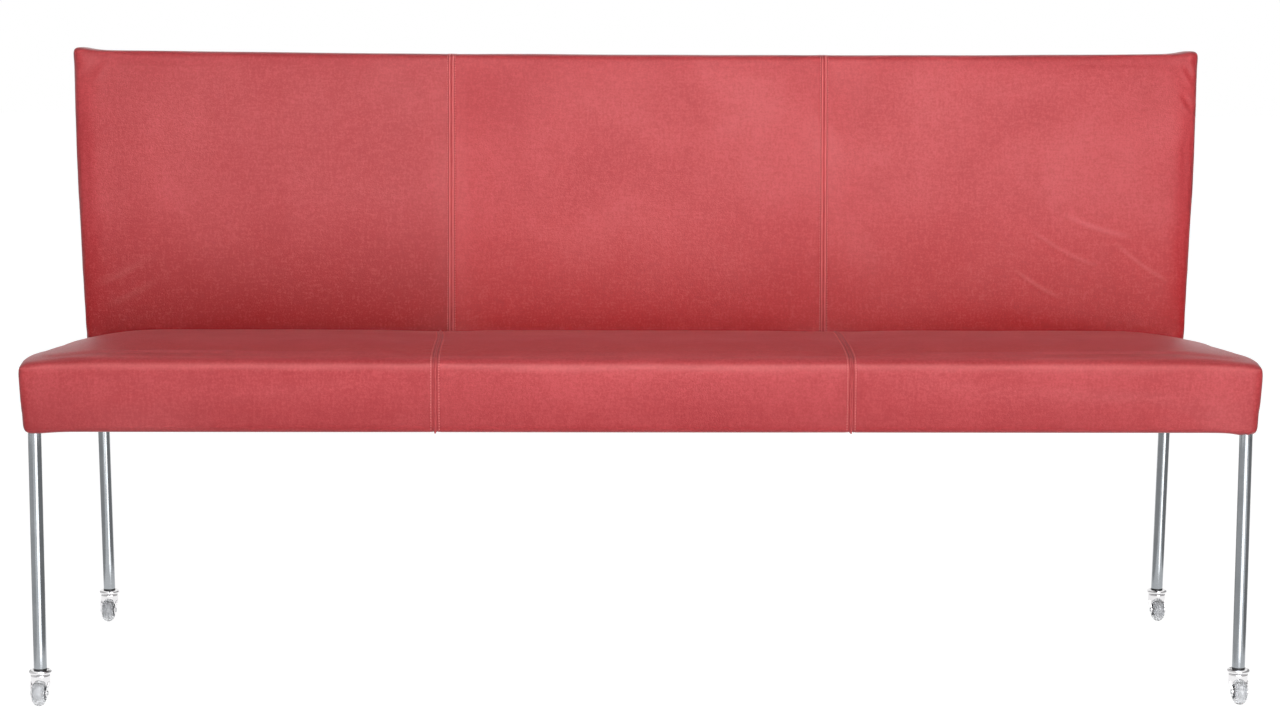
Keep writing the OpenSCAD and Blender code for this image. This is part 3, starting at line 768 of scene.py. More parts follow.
@dataclass(frozen=True)
class Finish:
    """What every finish has: a name, a colour with its darker and lighter patches, and a grain.

    ``build`` makes the material from the shared effects.
    """

    name: str
    colour: Triple
    dark: Triple
    light: Triple
    patch_scale: float = 12.0
    fine_scale: float = 160.0
    patch_amount: float = 0.5
    roughness: float = 0.5
    roughness_spread: float = 0.1
    metallic: float = 0.0
    bump: float = 0.2
    bump_depth: float = 0.0003

    def start(self, library: EffectLibrary) -> tuple[Material, Nodes, Node, Node]:
        """Makes the material with its mottled colour.

        Args:
            library: the shared effects.

        Returns:
            The material, its node helper, its Principled BSDF and its mottle group node.
        """
        material, n = new_material(self.name)
        shader = n.tree.nodes["Principled BSDF"]
        tone = n.add("ShaderNodeGroup", node_tree=library.get(Effect.MOTTLE), Colour=rgba(self.colour),
                     Dark=rgba(self.dark), Light=rgba(self.light), Patch_Scale=self.patch_scale,
                     Fine_Scale=self.fine_scale, Amount=self.patch_amount)
        n.link(tone.outputs["Colour"], shader.inputs["Base Color"])
        shader.inputs["Metallic"].default_value = self.metallic
        return material, n, shader, tone

    def rough(self, n: Nodes, shader: Node, library: EffectLibrary, scale: float) -> None:
        """Gives the shader its roughness with handling marks."""
        marks = n.add("ShaderNodeGroup", node_tree=library.get(Effect.HANDLING), Base=self.roughness,
                      Amount=self.roughness_spread, Scale=scale)
        n.link(marks.outputs["Roughness"], shader.inputs["Roughness"])

    def raise_bump(self, n: Nodes, shader: Node, height: Socket) -> None:
        """Turns a height into the shader's normal."""
        bump = n.add("ShaderNodeBump", Strength=self.bump, Distance=self.bump_depth)
        n.link(height, bump.inputs["Height"])
        n.link(bump.outputs["Normal"], shader.inputs["Normal"])

    def build(self, library: EffectLibrary) -> Material:
        """Builds the plain moulded form of the finish."""
        material, n, shader, _ = self.start(library)
        self.rough(n, shader, library, 80.0)
        self.raise_bump(n, shader, n.noise(n.place(), 1400.0, 2.0))
        return material


@dataclass(frozen=True)
class LeatherFinish(Finish):
    """Dyed semi-gloss hide with a fine pebble.

    Attributes:
        speckle: strength of its dark and light dots.
        pale: colour of the pale mark: a painted highlight on the front edge and the seam lips, which at the
            lips
        also stands for rubbed wear, and of the paler raised creases.
        painted_red_colour: colour of the painted red: painted shade at the back's foot and a painted reflection
            of the red back on the seat's top.
        deep: colour of the painted shade in the seam lines, higher up the rounded front edge and at the foot of
            the seat's front.
        mark_share: share of the full strength of the pale mark and of the painted shade.
    """

    cell_scale: float = 620.0
    line_scale: float = 60.0
    lines: float = 0.6
    speckle: float = 0.42
    pale: Triple = (0.74, 0.19, 0.19)
    painted_red_colour: Triple = (0.46, 0.002, 0.003)
    deep: Triple = (0.24, 0.008, 0.011)
    mark_share: float = 0.7
    sheen: float = 0.08
    sheen_roughness: float = 0.45
    specular: float = 0.30

    def marked(self, n: Nodes, mark: str, share: float, colour: Socket, mark_colour: Triple) -> Socket:
        """Mixes another colour in where the points of the panel hold that mark."""
        amount = n.add("ShaderNodeAttribute", attribute_name=mark).outputs["Fac"]
        return n.mix_colour(n.math("MULTIPLY", amount, share, clamp=True), colour, rgba(mark_colour))

    def build(self, library: EffectLibrary) -> Material:
        """Builds the hide: marks and speckle change its colour and its roughness follows the patches."""
        material, n, shader, tone = self.start(library)
        hide = n.add("ShaderNodeGroup", node_tree=library.get(Effect.GRAIN), Cell_Scale=self.cell_scale,
                     Line_Scale=self.line_scale, Lines=self.lines)
        # Painted red first: painted shade at the back's foot and a painted reflection of the red back on the
        # seat's top.
        colour = self.marked(n, "painted_red_mark", 1.0, tone.outputs["Colour"], self.painted_red_colour)
        for start, end, tint in ((0.52, 0.40, self.dark), (0.48, 0.60, self.light)):
            dots = n.math("MULTIPLY", n.ramp(hide.outputs["Speckle"], start, end), self.speckle)
            colour = n.mix_colour(dots, colour, rgba(tint))
        # Pale mark: painted highlight on the front edge and the seam lips, with rubbed wear at the lips.
        colour = self.marked(n, "highlight_and_wear_pale", self.mark_share, colour, self.pale)
        # Painted shade: the seam lines, higher up the rounded front edge and the foot of the seat's front.
        colour = self.marked(n, "painted_shade", self.mark_share, colour, self.deep)
        n.link(colour, shader.inputs["Base Color"])
        rough = n.ramp(tone.outputs["Patches"], 0.3, 0.7, self.roughness + self.roughness_spread / 2,
                       self.roughness - self.roughness_spread / 2)
        n.link(rough, shader.inputs["Roughness"])
        shader.inputs["Sheen Weight"].default_value = self.sheen
        shader.inputs["Sheen Roughness"].default_value = self.sheen_roughness
        shader.inputs["Specular IOR Level"].default_value = self.specular
        self.raise_bump(n, shader, hide.outputs["Height"])
        return material


@dataclass(frozen=True)
class BrushedFinish(Finish):
    """Metal or wood with lines drawn out along one direction."""

    stretch: Triple = (1.0, 1.0, 0.012)
    line_scale: float = 1800.0

    def build(self, library: EffectLibrary) -> Material:
        """Builds the lined surface."""
        material, n, shader, _ = self.start(library)
        brush = n.add("ShaderNodeGroup", node_tree=library.get(Effect.BRUSH), Stretch=self.stretch,
                      Line_Scale=self.line_scale, Low=self.roughness,
                      High=self.roughness + self.roughness_spread)
        n.link(brush.outputs["Roughness"], shader.inputs["Roughness"])
        self.raise_bump(n, shader, brush.outputs["Height"])
        return material


@dataclass(frozen=True)
class ClearFinish(Finish):
    """Soft translucent plastic."""

    transmission: float = 0.5
    ior: float = 1.48

    def build(self, library: EffectLibrary) -> Material:
        """Builds the translucent plastic."""
        material, n, shader, _ = self.start(library)
        self.rough(n, shader, library, 120.0)
        self.raise_bump(n, shader, n.noise(n.place(), 900.0, 2.0))
        shader.inputs["Transmission Weight"].default_value = self.transmission
        shader.inputs["IOR"].default_value = self.ior
        return material


@dataclass(frozen=True)
class WovenFinish(Finish):
    """Cloth with crossing threads."""

    threads: float = 2600.0

    def build(self, library: EffectLibrary) -> Material:
        """Builds the cloth."""
        material, n, shader, tone = self.start(library)
        weave = n.add("ShaderNodeGroup", node_tree=library.get(Effect.WEAVE), Threads=self.threads)
        # The weave's Shade darkens the colour where the threads dip: painted shade between the threads.
        shade = n.math("SUBTRACT", 1.0, weave.outputs["Shade"])
        n.link(n.mix_colour(shade, tone.outputs["Colour"], rgba(self.dark)), shader.inputs["Base Color"])
        shader.inputs["Roughness"].default_value = self.roughness
        self.raise_bump(n, shader, weave.outputs["Height"])
        return material


class Slot(Enum):
    """The record's material slots."""

    LEATHER = "leather"
    LEG_STEEL = "leg_steel"
    CHROME = "chrome"
    PLATED = "plated_steel"
    SOCKET = "black_plastic"
    HUB = "hub_plastic"
    TREAD = "tread_rubber"
    FRAME = "frame_steel"
    BOARD = "plywood"
    WEBBING = "webbing"
    FOAM = "foam"
    LINING = "lining"


FINISHES: dict[Slot, Finish] = {
    Slot.LEATHER: LeatherFinish(
        "red_leather", (0.47, 0.043, 0.050), (0.37, 0.026, 0.032), (0.56, 0.072, 0.080), patch_scale=8.0,
        fine_scale=220.0, roughness=0.38, roughness_spread=0.10, bump=0.30, bump_depth=0.00035),
    Slot.LEG_STEEL: BrushedFinish(
        "brushed_leg_steel", (0.37, 0.39, 0.41), (0.31, 0.33, 0.35), (0.43, 0.45, 0.47), patch_scale=30.0,
        patch_amount=0.4, roughness=0.13, roughness_spread=0.08, metallic=1.0, bump=0.08, bump_depth=0.00005),
    Slot.CHROME: Finish(
        "castor_chrome", (0.83, 0.82, 0.83), (0.74, 0.73, 0.74), (0.88, 0.87, 0.88), patch_scale=60.0,
        patch_amount=0.3, roughness=0.05, roughness_spread=0.08, metallic=1.0, bump=0.04, bump_depth=0.00005),
    Slot.PLATED: Finish(
        "zinc_plated_steel", (0.50, 0.51, 0.52), (0.40, 0.41, 0.42), (0.58, 0.58, 0.58), patch_scale=90.0,
        roughness=0.25, roughness_spread=0.15, metallic=1.0, bump=0.08, bump_depth=0.00008),
    Slot.SOCKET: Finish(
        "black_socket_plastic", (0.018, 0.018, 0.020), (0.010, 0.010, 0.011), (0.030, 0.030, 0.032),
        patch_scale=50.0, roughness=0.42, roughness_spread=0.12, bump=0.12),
    Slot.HUB: Finish(
        "grey_hub_plastic", (0.50, 0.51, 0.53), (0.42, 0.43, 0.45), (0.56, 0.57, 0.59), patch_scale=60.0,
        roughness=0.40, roughness_spread=0.12, bump=0.10),
    Slot.TREAD: ClearFinish(
        "clear_grey_tread", (0.93, 0.94, 0.96), (0.88, 0.89, 0.91), (0.96, 0.97, 0.98), patch_scale=80.0,
        patch_amount=0.4, roughness=0.14, roughness_spread=0.06, bump=0.05, bump_depth=0.0001,
        transmission=0.65),
    Slot.FRAME: Finish(
        "black_frame_paint", (0.030, 0.030, 0.032), (0.018, 0.018, 0.019), (0.045, 0.045, 0.047),
        patch_scale=40.0, roughness=0.48, roughness_spread=0.12, bump=0.35, bump_depth=0.0002),
    Slot.BOARD: BrushedFinish(
        "birch_plywood", (0.56, 0.39, 0.22), (0.42, 0.27, 0.14), (0.66, 0.49, 0.30), patch_scale=9.0,
        fine_scale=60.0, roughness=0.55, roughness_spread=0.15, stretch=(0.03, 1.0, 1.0), line_scale=420.0,
        bump=0.25, bump_depth=0.0003),
    Slot.WEBBING: WovenFinish(
        "elastic_webbing", (0.20, 0.11, 0.055), (0.09, 0.05, 0.025), (0.30, 0.17, 0.09), patch_scale=30.0,
        roughness=0.85, bump=0.7, bump_depth=0.0008, threads=2200.0),
    Slot.FOAM: Finish(
        "open_cell_foam", (0.82, 0.76, 0.56), (0.70, 0.63, 0.42), (0.90, 0.85, 0.68), patch_scale=14.0,
        roughness=0.9, roughness_spread=0.05, bump=0.8, bump_depth=0.001),
    Slot.LINING: WovenFinish(
        "underside_lining", (0.020, 0.020, 0.021), (0.010, 0.010, 0.010), (0.034, 0.034, 0.035),
        patch_scale=20.0, roughness=0.92, bump=0.5, bump_depth=0.0004, threads=3800.0),
}
# Shaded copies of the leather: the left panel of the back and the whole seat are painted darker, as painted
# shade. The seat's copy paints its top a fuller red, a painted reflection of the red back.
SHADED_LEATHER = replace(FINISHES[Slot.LEATHER], name="red_leather_painted_shade", colour=(0.43, 0.042, 0.048),
                       painted_red_colour=(0.345, 0.002, 0.003))
SEAT_LEATHER = replace(SHADED_LEATHER, name="red_leather_seat", painted_red_colour=(0.60, 0.020, 0.025))
THREAD = WovenFinish("red_thread", (0.80, 0.25, 0.24), (0.66, 0.18, 0.17), (0.86, 0.32, 0.30),
                     patch_scale=60.0, roughness=0.6, bump=0.4, bump_depth=0.0002, threads=9000.0)


def leather_shade_copy(part: Part, side: Side) -> Finish:
    """Chooses the leather for a panel: the seat's and the left one of the back are painted darker copies, as
    painted shade.
    """
    if part is Part.SEAT:
        return SEAT_LEATHER
    return SHADED_LEATHER if side is Side.LEFT else FINISHES[Slot.LEATHER]


class FinishStore:
    """Builds each finish once and puts it on pieces."""

    def __init__(self) -> None:
        """Starts with the shared effects and no materials."""
        self.library = EffectLibrary()
        self.built: dict[str, Material] = {}

    def put(self, obj: Piece, finish: Finish) -> None:
        """Gives a piece one finish in place of all it had, built on first use."""
        if finish.name not in self.built:
            self.built[finish.name] = finish.build(self.library)
        obj.data.materials.clear()
        obj.data.materials.append(self.built[finish.name])

    def dress(self, obj: Piece, slot: Slot, finish: Finish) -> Piece:
        """Gives a new piece its finish."""
        self.put(obj, finish)
        return obj

    def dress_cad_nodes(self) -> None:
        """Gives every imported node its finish, by the record's own slots."""
        for part in frame["record"]["subparts"]:
            self.put(frame["nodes"][part["node"]], FINISHES[Slot(part["material_slot"])])


# Leather panels


SEAM_LINES = (0.0005, 0.0010, 0.0016, 0.0022, 0.0027, 0.0033, 0.0039, 0.0045, 0.0051, 0.0057, 0.0063, 0.0070,
              0.0080)
SIMULATED_FRAMES = 20
CLOTH = {"quality": 4, "mass": 0.35, "tension_stiffness": 22, "compression_stiffness": 22,
         "shear_stiffness": 8, "bending_stiffness": 3.0, "use_pressure": True, "uniform_pressure_force": 4.0,
         "vertex_group_mass": "held", "pin_stiffness": 1.0}


@dataclass(frozen=True)
class Rise:
    """A rounded rise of a height or of a mark's strength; a negative height sinks.

    Attributes:
        place: where it is, in millimetres from a seam or in degrees of the surface's tilt.
        width: its half width, in the same unit.
        height: its height in millimetres, or its strength.
    """

    place: float
    width: float
    height: float


def profile(places: np.ndarray, rises: Sequence[Rise]) -> np.ndarray:
    """Adds up the rises at each place."""
    return sum(rise.height * np.exp(-((places - rise.place) / rise.width) ** 2) for rise in rises)


SEAM_RELIEF = {Part.SEAT: (Rise(0, 1.8, 0.5), Rise(3.0, 0.9, -0.8), Rise(6.2, 0.9, -0.35)),
               Part.BACK: (Rise(2.6, 1.2, 0.6), Rise(0, 0.9, -1.5), Rise(5.2, 0.9, -0.5))}
# Pale on the seam's raised lips, by distance from the seam in mm: painted highlight and rubbed wear.
SEAM_HIGHLIGHT_AND_WEAR = {Part.SEAT: (Rise(0, 1.7, 1.0), Rise(4.6, 1.2, 0.35)), Part.BACK: (Rise(2.7, 1.2, 1.5),)}
# Painted shade in the seam's sunk lines, by distance from the seam in mm.
SEAM_PAINTED_SHADE = {Part.SEAT: (Rise(3.0, 0.8, 1.0), Rise(6.2, 0.8, 0.5)),
             Part.BACK: (Rise(0, 0.9, 1.0), Rise(5.3, 0.9, 1.1))}
# Painted highlight on the seat's rounded front edge, where it tilts towards the light, in degrees.
NOSE_PAINTED_HIGHLIGHT = (Rise(26.0, 9.0, 0.42),)
# Painted shade higher up the seat's rounded front edge, by its tilt in degrees.
NOSE_PAINTED_SHADE = (Rise(54.0, 14.0, 0.20),)


@dataclass(frozen=True)
class Crease:
    """A soft fold in a panel, as a stroke across its face.

    Attributes:
        start: first end, across the bench and along the face (height on the back, depth on the seat).
        end: last end.
        width: half width of the fold.
        depth: how deep it sinks; a negative depth raises it.
        bend: how far it curves, as a share of its length.
        lip: height of the lip beside it, as a share of its depth.
        lip_place: distance of the lip's top, in half widths.
        lip_width: half width of the lip, in half widths of the fold.
    """

    start: tuple[float, float]
    end: tuple[float, float]
    width: float
    depth: float
    bend: float = 0.04
    lip: float = 0.45
    lip_place: float = 1.7
    lip_width: float = 0.8


BACK_CREASES = (
    Crease((0.886, 0.929), (0.904, 0.900), 0.0050, 0.0020),
    Crease((0.882, 0.882), (0.903, 0.854), 0.0050, 0.0020),
    Crease((0.640, 0.662), (0.742, 0.608), 0.0040, -0.0007),
    Crease((0.612, 0.600), (0.684, 0.556), 0.0040, -0.0007),
    Crease((0.775, 0.643), (0.860, 0.583), 0.0045, -0.0007),
    Crease((0.690, 0.690), (0.800, 0.655), 0.0050, -0.0004),
    Crease((-0.885, 0.900), (-0.862, 0.935), 0.0070, 0.0008),
    Crease((-0.870, 0.555), (-0.780, 0.600), 0.0100, 0.0006),
)
SEAT_CREASES = (
    Crease((-0.830, 0.300), (-0.700, 0.380), 0.0150, 0.0007),
    Crease((0.700, 0.350), (0.840, 0.260), 0.0160, 0.0007),
)


@dataclass
class LeatherPanel:
    """One leather panel with its wadding: a closed form that is swelled by cloth simulation.

    Attributes:
        part: seat or back.
        side: which of the three panels.
        form: the surfaces that it starts from.
        voxel: size of the simulated mesh.
        start_inset: how much smaller it starts, where it is free to swell.
        cap: how far a point may swell beyond the form.
        inward_cap: how far a point may sink below it.
        slide_cap: how far a point may slide along it.
        wrinkle_share: share of the small unevenness that is kept.
        seam_hold: width beside a seam that is held.
        seam_fade: width beside a seam over which the hold ends.
        hem_hold: height above the underside that is held, and the height over which that hold ends.
        crease_hold: depth before the crease where the seat's hold starts, and over which it is full.
        foot_hold: height below the crease where the back's hold starts to end, and over which it ends.
        foot_depth: how far behind its front that hold of the back reaches.
        overlap: how far the simulated form runs past its seams.
        soft_rounds: how often the swelling is averaged.
        open_rounds: how often the normals are averaged that tell edges from open faces.
        flat_from: straight part of a normal from which a point of the face starts drawn in.
        flat_run: further part over which that grows to the full inset.
        open_from: length of an averaged normal from which a face counts as open.
        open_run: further length over which it comes to count in full.
        pucker: height of the puckers beside a seam.
        pucker_place: their distance from it.
        pucker_reach: how far they reach from there.
        pucker_runs: lengths of the waves that they follow.
        wave: height of the long unevenness.
        wave_runs: lengths of the waves that it follows, two across the bench and two along the face.
        corner_pull: how far the back's top corners are drawn out.
        corner_reach: distance over which that pull fades.
        leg_pull: how far the hide is drawn down beside a leg's top.
        leg_reach: distance from the leg's axis over which that pull fades.
        leg_rise: height above the underside where the pull starts to fade, and over which it does.
        leg_gathers: number of the small folds round a leg's top.
        gather_share: share of the pull that they add and take.
        nose_depth: depth of the seat that counts as its rounded front edge.
        front_depth: depth of the seat that counts as its front.
        foot_red: height over which the back's foot is painted a deeper red, as painted shade.
        front_foot: height over which the seat's front is painted darker towards its foot, as painted shade.
        top_red: how strongly the seat's top is painted a fuller red, as a painted reflection of the red back.
        top_from: upward part of a normal from which the seat counts as its top.
        top_run: further part over which it comes to count in full.
        crease_pale: how much paler the raised parts of the back's creases are painted.
    """

    part: Part
    side: Side
    form: CoverForm
    voxel: float = 0.0064
    start_inset: float = 0.0020
    cap: float = 0.0028
    inward_cap: float = 0.0010
    slide_cap: float = 0.0012
    wrinkle_share: float = 0.22
    seam_hold: float = 0.012
    seam_fade: float = 0.040
    hem_hold: tuple[float, float] = (0.004, 0.024)
    crease_hold: tuple[float, float] = (0.034, 0.026)
    foot_hold: tuple[float, float] = (0.012, 0.024)
    foot_depth: float = 0.05
    overlap: float = 0.014
    soft_rounds: int = 50
    open_rounds: int = 60
    flat_from: float = 0.93
    flat_run: float = 0.06
    open_from: float = 0.76
    open_run: float = 0.22
    pucker: float = 0.00024
    pucker_place: float = 0.010
    pucker_reach: float = 0.006
    pucker_runs: Triple = (0.0036, 0.019, 0.0131)
    wave: float = 0.0003
    wave_runs: tuple[float, float, float, float] = (0.047, 0.083, 0.061, 0.11)
    corner_pull: float = 0.0026
    corner_reach: float = 0.016
    leg_pull: float = 0.0030
    leg_reach: float = 0.030
    leg_rise: tuple[float, float] = (0.002, 0.028)
    leg_gathers: int = 7
    gather_share: float = 0.35
    nose_depth: float = 0.06
    front_depth: float = 0.02
    foot_red: float = 0.24
    front_foot: float = 0.075
    top_red: float = 0.5
    top_from: float = 0.80
    top_run: float = 0.18
    crease_pale: float = 0.36
    obj: Piece | None = field(default=None, init=False)
    rest: np.ndarray | None = field(default=None, init=False)
    facing: np.ndarray | None = field(default=None, init=False)

    @property
    def name(self) -> str:
        """Name of the finished piece."""
        return f"{self.part.value}_leather_{self.side.value}"

    @property
    def dusk(self) -> float:
        """Strength of the painted shade at the panel's foot: the back's deeper red and the seat front's
        darkening, stronger on the left panel.
        """
        left, others = {Part.BACK: (1.1, 0.83), Part.SEAT: (0.49, 0.336)}[self.part]
        return left if self.side is Side.LEFT else others

    @property
    def node(self) -> str:
        """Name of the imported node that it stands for."""
        return f"{self.part.value}_cover_{self.side.value}"

    def stations(self) -> list[float]:
        """Places of the rings across the bench, from the smallest x to the largest."""
        s = self.form.s
        half = s.seat_half if self.part is Part.SEAT else s.back_half
        if self.side is Side.MIDDLE:
            return [float(x) for x in np.linspace(-s.seam_x - self.overlap, s.seam_x + self.overlap, 64)]
        start = s.seam_x - self.overlap
        shares = [*np.linspace(0, 0.93, 56)[:-1], *(1 - 0.07 * np.cos(np.linspace(0, math.pi / 2, 14)))]
        return [start + (half - start) * float(t) for t in shares]

    def build(self) -> Piece:
        """Lofts the closed form and remeshes it evenly."""
        ring = self.form.seat_ring if self.part is Part.SEAT else self.form.back_ring
        if self.side is Side.MIDDLE:
            rings = []
            for x in self.stations():
                points = ring(abs(x))
                points[:, 0] = x
                rings.append(points)
        else:
            rings = [ring(x) for x in self.stations()]
        self.obj = loft(self.name, rings)
        if self.side is Side.LEFT:
            points = coordinates(self.obj)
            points[:, 0] *= -1
            set_coordinates(self.obj, points)
            self.obj.data.flip_normals()
        activate(self.obj)
        remesh = self.obj.modifiers.new("even", "REMESH")
        remesh.mode = "VOXEL"
        remesh.voxel_size = self.voxel
        remesh.use_smooth_shade = True
        ease = self.obj.modifiers.new("ease", "SMOOTH")
        ease.factor = 0.5
        ease.iterations = 2
        apply_modifiers(self.obj)
        return self.obj

    def held(self, points: np.ndarray) -> np.ndarray:
        """How firmly each point is held, from 0, free, to 1: at the seams, the crease and the underside."""
        s = self.form.s
        y, z = points[:, 1] - s.shift, points[:, 2]
        seam = np.abs(np.abs(points[:, 0]) - s.seam_x)
        hold = 1 - smooth_step((seam - self.seam_hold) / (self.seam_fade - self.seam_hold))
        hold = np.maximum(hold, 1 - smooth_step((z - s.underside - self.hem_hold[0]) / self.hem_hold[1]))
        front = self.form.back_front(z)
        if self.part is Part.SEAT:
            return np.maximum(hold, smooth_step((y - front + self.crease_hold[0]) / self.crease_hold[1]))
        low = 1 - smooth_step((z - s.crease + self.foot_hold[0]) / self.foot_hold[1])
        low_front = low * (y < front + self.foot_depth)
        return np.maximum(hold, low_front)

    def prepare(self) -> None:
        """Draws the form in a little and puts a cloth with pressure on it."""
        self.rest = coordinates(self.obj)
        self.facing = normals(self.obj)
        hold = self.held(self.rest)
        across_face = np.abs(self.facing[:, 2 if self.part is Part.SEAT else 1])
        flat = smooth_step((across_face - self.flat_from) / self.flat_run)
        set_coordinates(self.obj, self.rest - self.facing * (self.start_inset * flat * (1 - hold))[:, None])
        group = self.obj.vertex_groups.new(name="held")
        for index, weight in enumerate(hold):
            if weight > 0.001:
                group.add([index], float(weight), "REPLACE")
        cloth = self.obj.modifiers.new("cloth", "CLOTH")
        for name, value in CLOTH.items():
            setattr(cloth.settings, name, value)
        cloth.settings.effector_weights.gravity = 0
        cloth.collision_settings.use_collision = False
        cloth.point_cache.frame_start, cloth.point_cache.frame_end = 1, SIMULATED_FRAMES

    def settle(self) -> None:
        """Applies the cloth, with each point's movement capped and its swelling eased."""
        apply_modifiers(self.obj)
        moved = coordinates(self.obj) - self.rest
        outwards = (moved * self.facing).sum(axis=1)
        slide = moved - outwards[:, None] * self.facing
        length = np.linalg.norm(slide, axis=1, keepdims=True)
        open_face = self.openness()
        slide *= (open_face[:, None] * self.slide_cap * np.tanh(length / self.slide_cap)
                  / np.maximum(length, 1e-9))
        soft = eased(self.obj, outwards, self.soft_rounds)
        lifted = soft + self.wrinkle_share * (outwards - soft)
        cap = self.cap if self.part is Part.BACK else self.cap / 2
        sunk = self.inward_cap * np.tanh(lifted / self.inward_cap)
        lifted = np.where(lifted > 0, cap * np.tanh(lifted / cap), sunk)
        set_coordinates(self.obj, self.rest + slide + (open_face * lifted)[:, None] * self.facing)
        self.obj.vertex_groups.clear()

    def openness(self) -> np.ndarray:
        """Share of its swelling that each point takes: none on rounded edges, all of it on open faces."""
        around = np.stack([eased(self.obj, column, self.open_rounds) for column in self.facing.T], axis=1)
        return smooth_step((np.linalg.norm(around, axis=1) - self.open_from) / self.open_run)

    def finish(self) -> Piece:
        """Rounds the mesh, adds its folds, gathers and seams, and cuts the room inside."""
        rounding = self.obj.modifiers.new("rounding", "SUBSURF")
        rounding.levels = rounding.render_levels = 1
        apply_modifiers(self.obj)
        points = coordinates(self.obj)
        set_coordinates(self.obj, points + normals(self.obj) * self.relief(points)[:, None])
        self.trim_seams()
        points = coordinates(self.obj)
        points += normals(self.obj) * self.seam_relief(points)[:, None] * np.array([0.0, 1.0, 1.0])
        set_coordinates(self.obj, self.bow(self.gather(points)))
        carve(outward(self.obj), self.rooms())
        self.mark_painted_light_and_wear()
        return smooth_by_angle(self.obj, 42)

    def mark_painted_light_and_wear(self) -> None:
        """Keeps as values of each point where light and shade are painted into the hide's colour.

        The lips beside the seams are painted pale: a painted highlight that also stands for rubbed wear. The
        rounded front edge gets a painted highlight where it tilts towards the light, and the back's raised
        creases are painted paler. Seam lines, the rounded front edge higher up and the foot of the seat's front
        get painted shade. The foot of the back is painted a deeper red as painted shade, and the seat's top a
        fuller red as a painted reflection of the red back.
        """
        s = self.form.s
        points, facing = coordinates(self.obj), normals(self.obj)
        y, z = points[:, 1] - s.shift, points[:, 2]
        seam = np.full(len(points), s.seam_x)
        if self.part is Part.SEAT:
            seam += seam_bow(s, seam, y)
        away = np.abs(np.abs(points[:, 0]) - seam) / MM
        pale, dark = profile(away, SEAM_HIGHLIGHT_AND_WEAR[self.part]), profile(away, SEAM_PAINTED_SHADE[self.part])
        if self.part is Part.SEAT:
            # Painted highlight on the rounded front edge where it tilts towards the light, and painted shade
            # higher up it.
            tilt = np.degrees(np.arcsin(np.clip(facing[:, 2], -1, 1)))
            nose = (y < self.nose_depth) * (facing[:, 1] < 0)
            pale += profile(tilt, NOSE_PAINTED_HIGHLIGHT) * nose
            dark += profile(tilt, NOSE_PAINTED_SHADE) * nose
            # Painted shade towards the foot of the seat's front.
            foot = smooth_step((s.crease - self.front_foot / 5 - z) / self.front_foot)
            dark += self.dusk * foot * (y < self.front_depth)
            # The seat's top is painted a fuller red, a painted reflection of the red back.
            red = self.top_red * smooth_step((facing[:, 2] - self.top_from) / self.top_run)
        else:
            # Painted red shade towards the back's foot, where the seat shades it.
            foot = smooth_step((s.crease + self.foot_red - z) / self.foot_red)
            red = self.dusk * foot * np.clip(-facing[:, 1], 0, 1)
            # The raised parts of the back's creases are painted paler.
            for crease in BACK_CREASES:
                mark = np.clip(-self.stroke(points[:, 0], z, crease) / abs(crease.depth), 0, 1)
                pale += self.crease_pale * mark * self.face_share(y, z)
        for name, values in (("painted_red_mark", red), ("highlight_and_wear_pale", pale), ("painted_shade", dark)):
            attribute = self.obj.data.attributes.new(name, "FLOAT", "POINT")
            attribute.data.foreach_set("value", np.clip(values, 0, 1).astype(np.float32))

    def trim_seams(self) -> None:
        """Cuts the panel off at its seams and adds close edge lines beside them."""
        activate(self.obj)
        bpy.ops.object.mode_set(mode="EDIT")
        signs = {Side.LEFT: (-1,), Side.MIDDLE: (-1, 1), Side.RIGHT: (1,)}[self.side]
        for sign in signs:
            seam = sign * self.form.s.seam_x
            inwards = -sign if self.side is Side.MIDDLE else sign
            bpy.ops.mesh.select_all(action="SELECT")
            bpy.ops.mesh.bisect(plane_co=(seam, 0, 0), plane_no=(inwards, 0, 0), use_fill=True,
                                clear_inner=True)
            for away in SEAM_LINES:
                bpy.ops.mesh.select_all(action="SELECT")
                bpy.ops.mesh.bisect(plane_co=(seam + inwards * away, 0, 0), plane_no=(1, 0, 0))
        bpy.ops.object.mode_set(mode="OBJECT")

    def seam_relief(self, points: np.ndarray) -> np.ndarray:
        """Height of the seam's sunk line, its lips and the dip under its stitches."""
        away = np.abs(np.abs(points[:, 0]) - self.form.s.seam_x) / MM
        return MM * profile(away, SEAM_RELIEF[self.part])

    def relief(self, points: np.ndarray) -> np.ndarray:
        """Height of folds, puckers and soft unevenness at each point, along its normal."""
        s = self.form.s
        x, y, z = points[:, 0], points[:, 1] - s.shift, points[:, 2]
        seam = np.abs(np.abs(x) - s.seam_x)
        along = z if self.part is Part.BACK else y + z
        short, drift, beat = self.pucker_runs
        pucker = np.sin(along / short + 2.1 * np.sin(along / drift)) * np.sin(along / beat + np.sign(x))
        height = self.pucker * pucker * np.exp(-((seam - self.pucker_place) / self.pucker_reach) ** 2)
        wide, wide_drift, tall, tall_drift = self.wave_runs
        across_wave = np.sin(x / wide + 1.3 * np.sin(along / wide_drift))
        height += self.wave * (across_wave * np.sin(along / tall + 0.9 * np.sin(x / tall_drift)))
        face = self.face_share(y, z)
        across = z if self.part is Part.BACK else y
        for crease in BACK_CREASES if self.part is Part.BACK else SEAT_CREASES:
            height -= face * self.stroke(x, across, crease)
        return height * smooth_step((z - s.underside) / 0.03)

    def face_share(self, y: np.ndarray, z: np.ndarray) -> np.ndarray:
        """Share of each point that counts as the face that creases are drawn on."""
        if self.part is Part.BACK:
            return 1 - smooth_step((y - self.form.back_front(z) - 0.004) / 0.012)
        return smooth_step((z - self.form.s.crease) / 0.008)

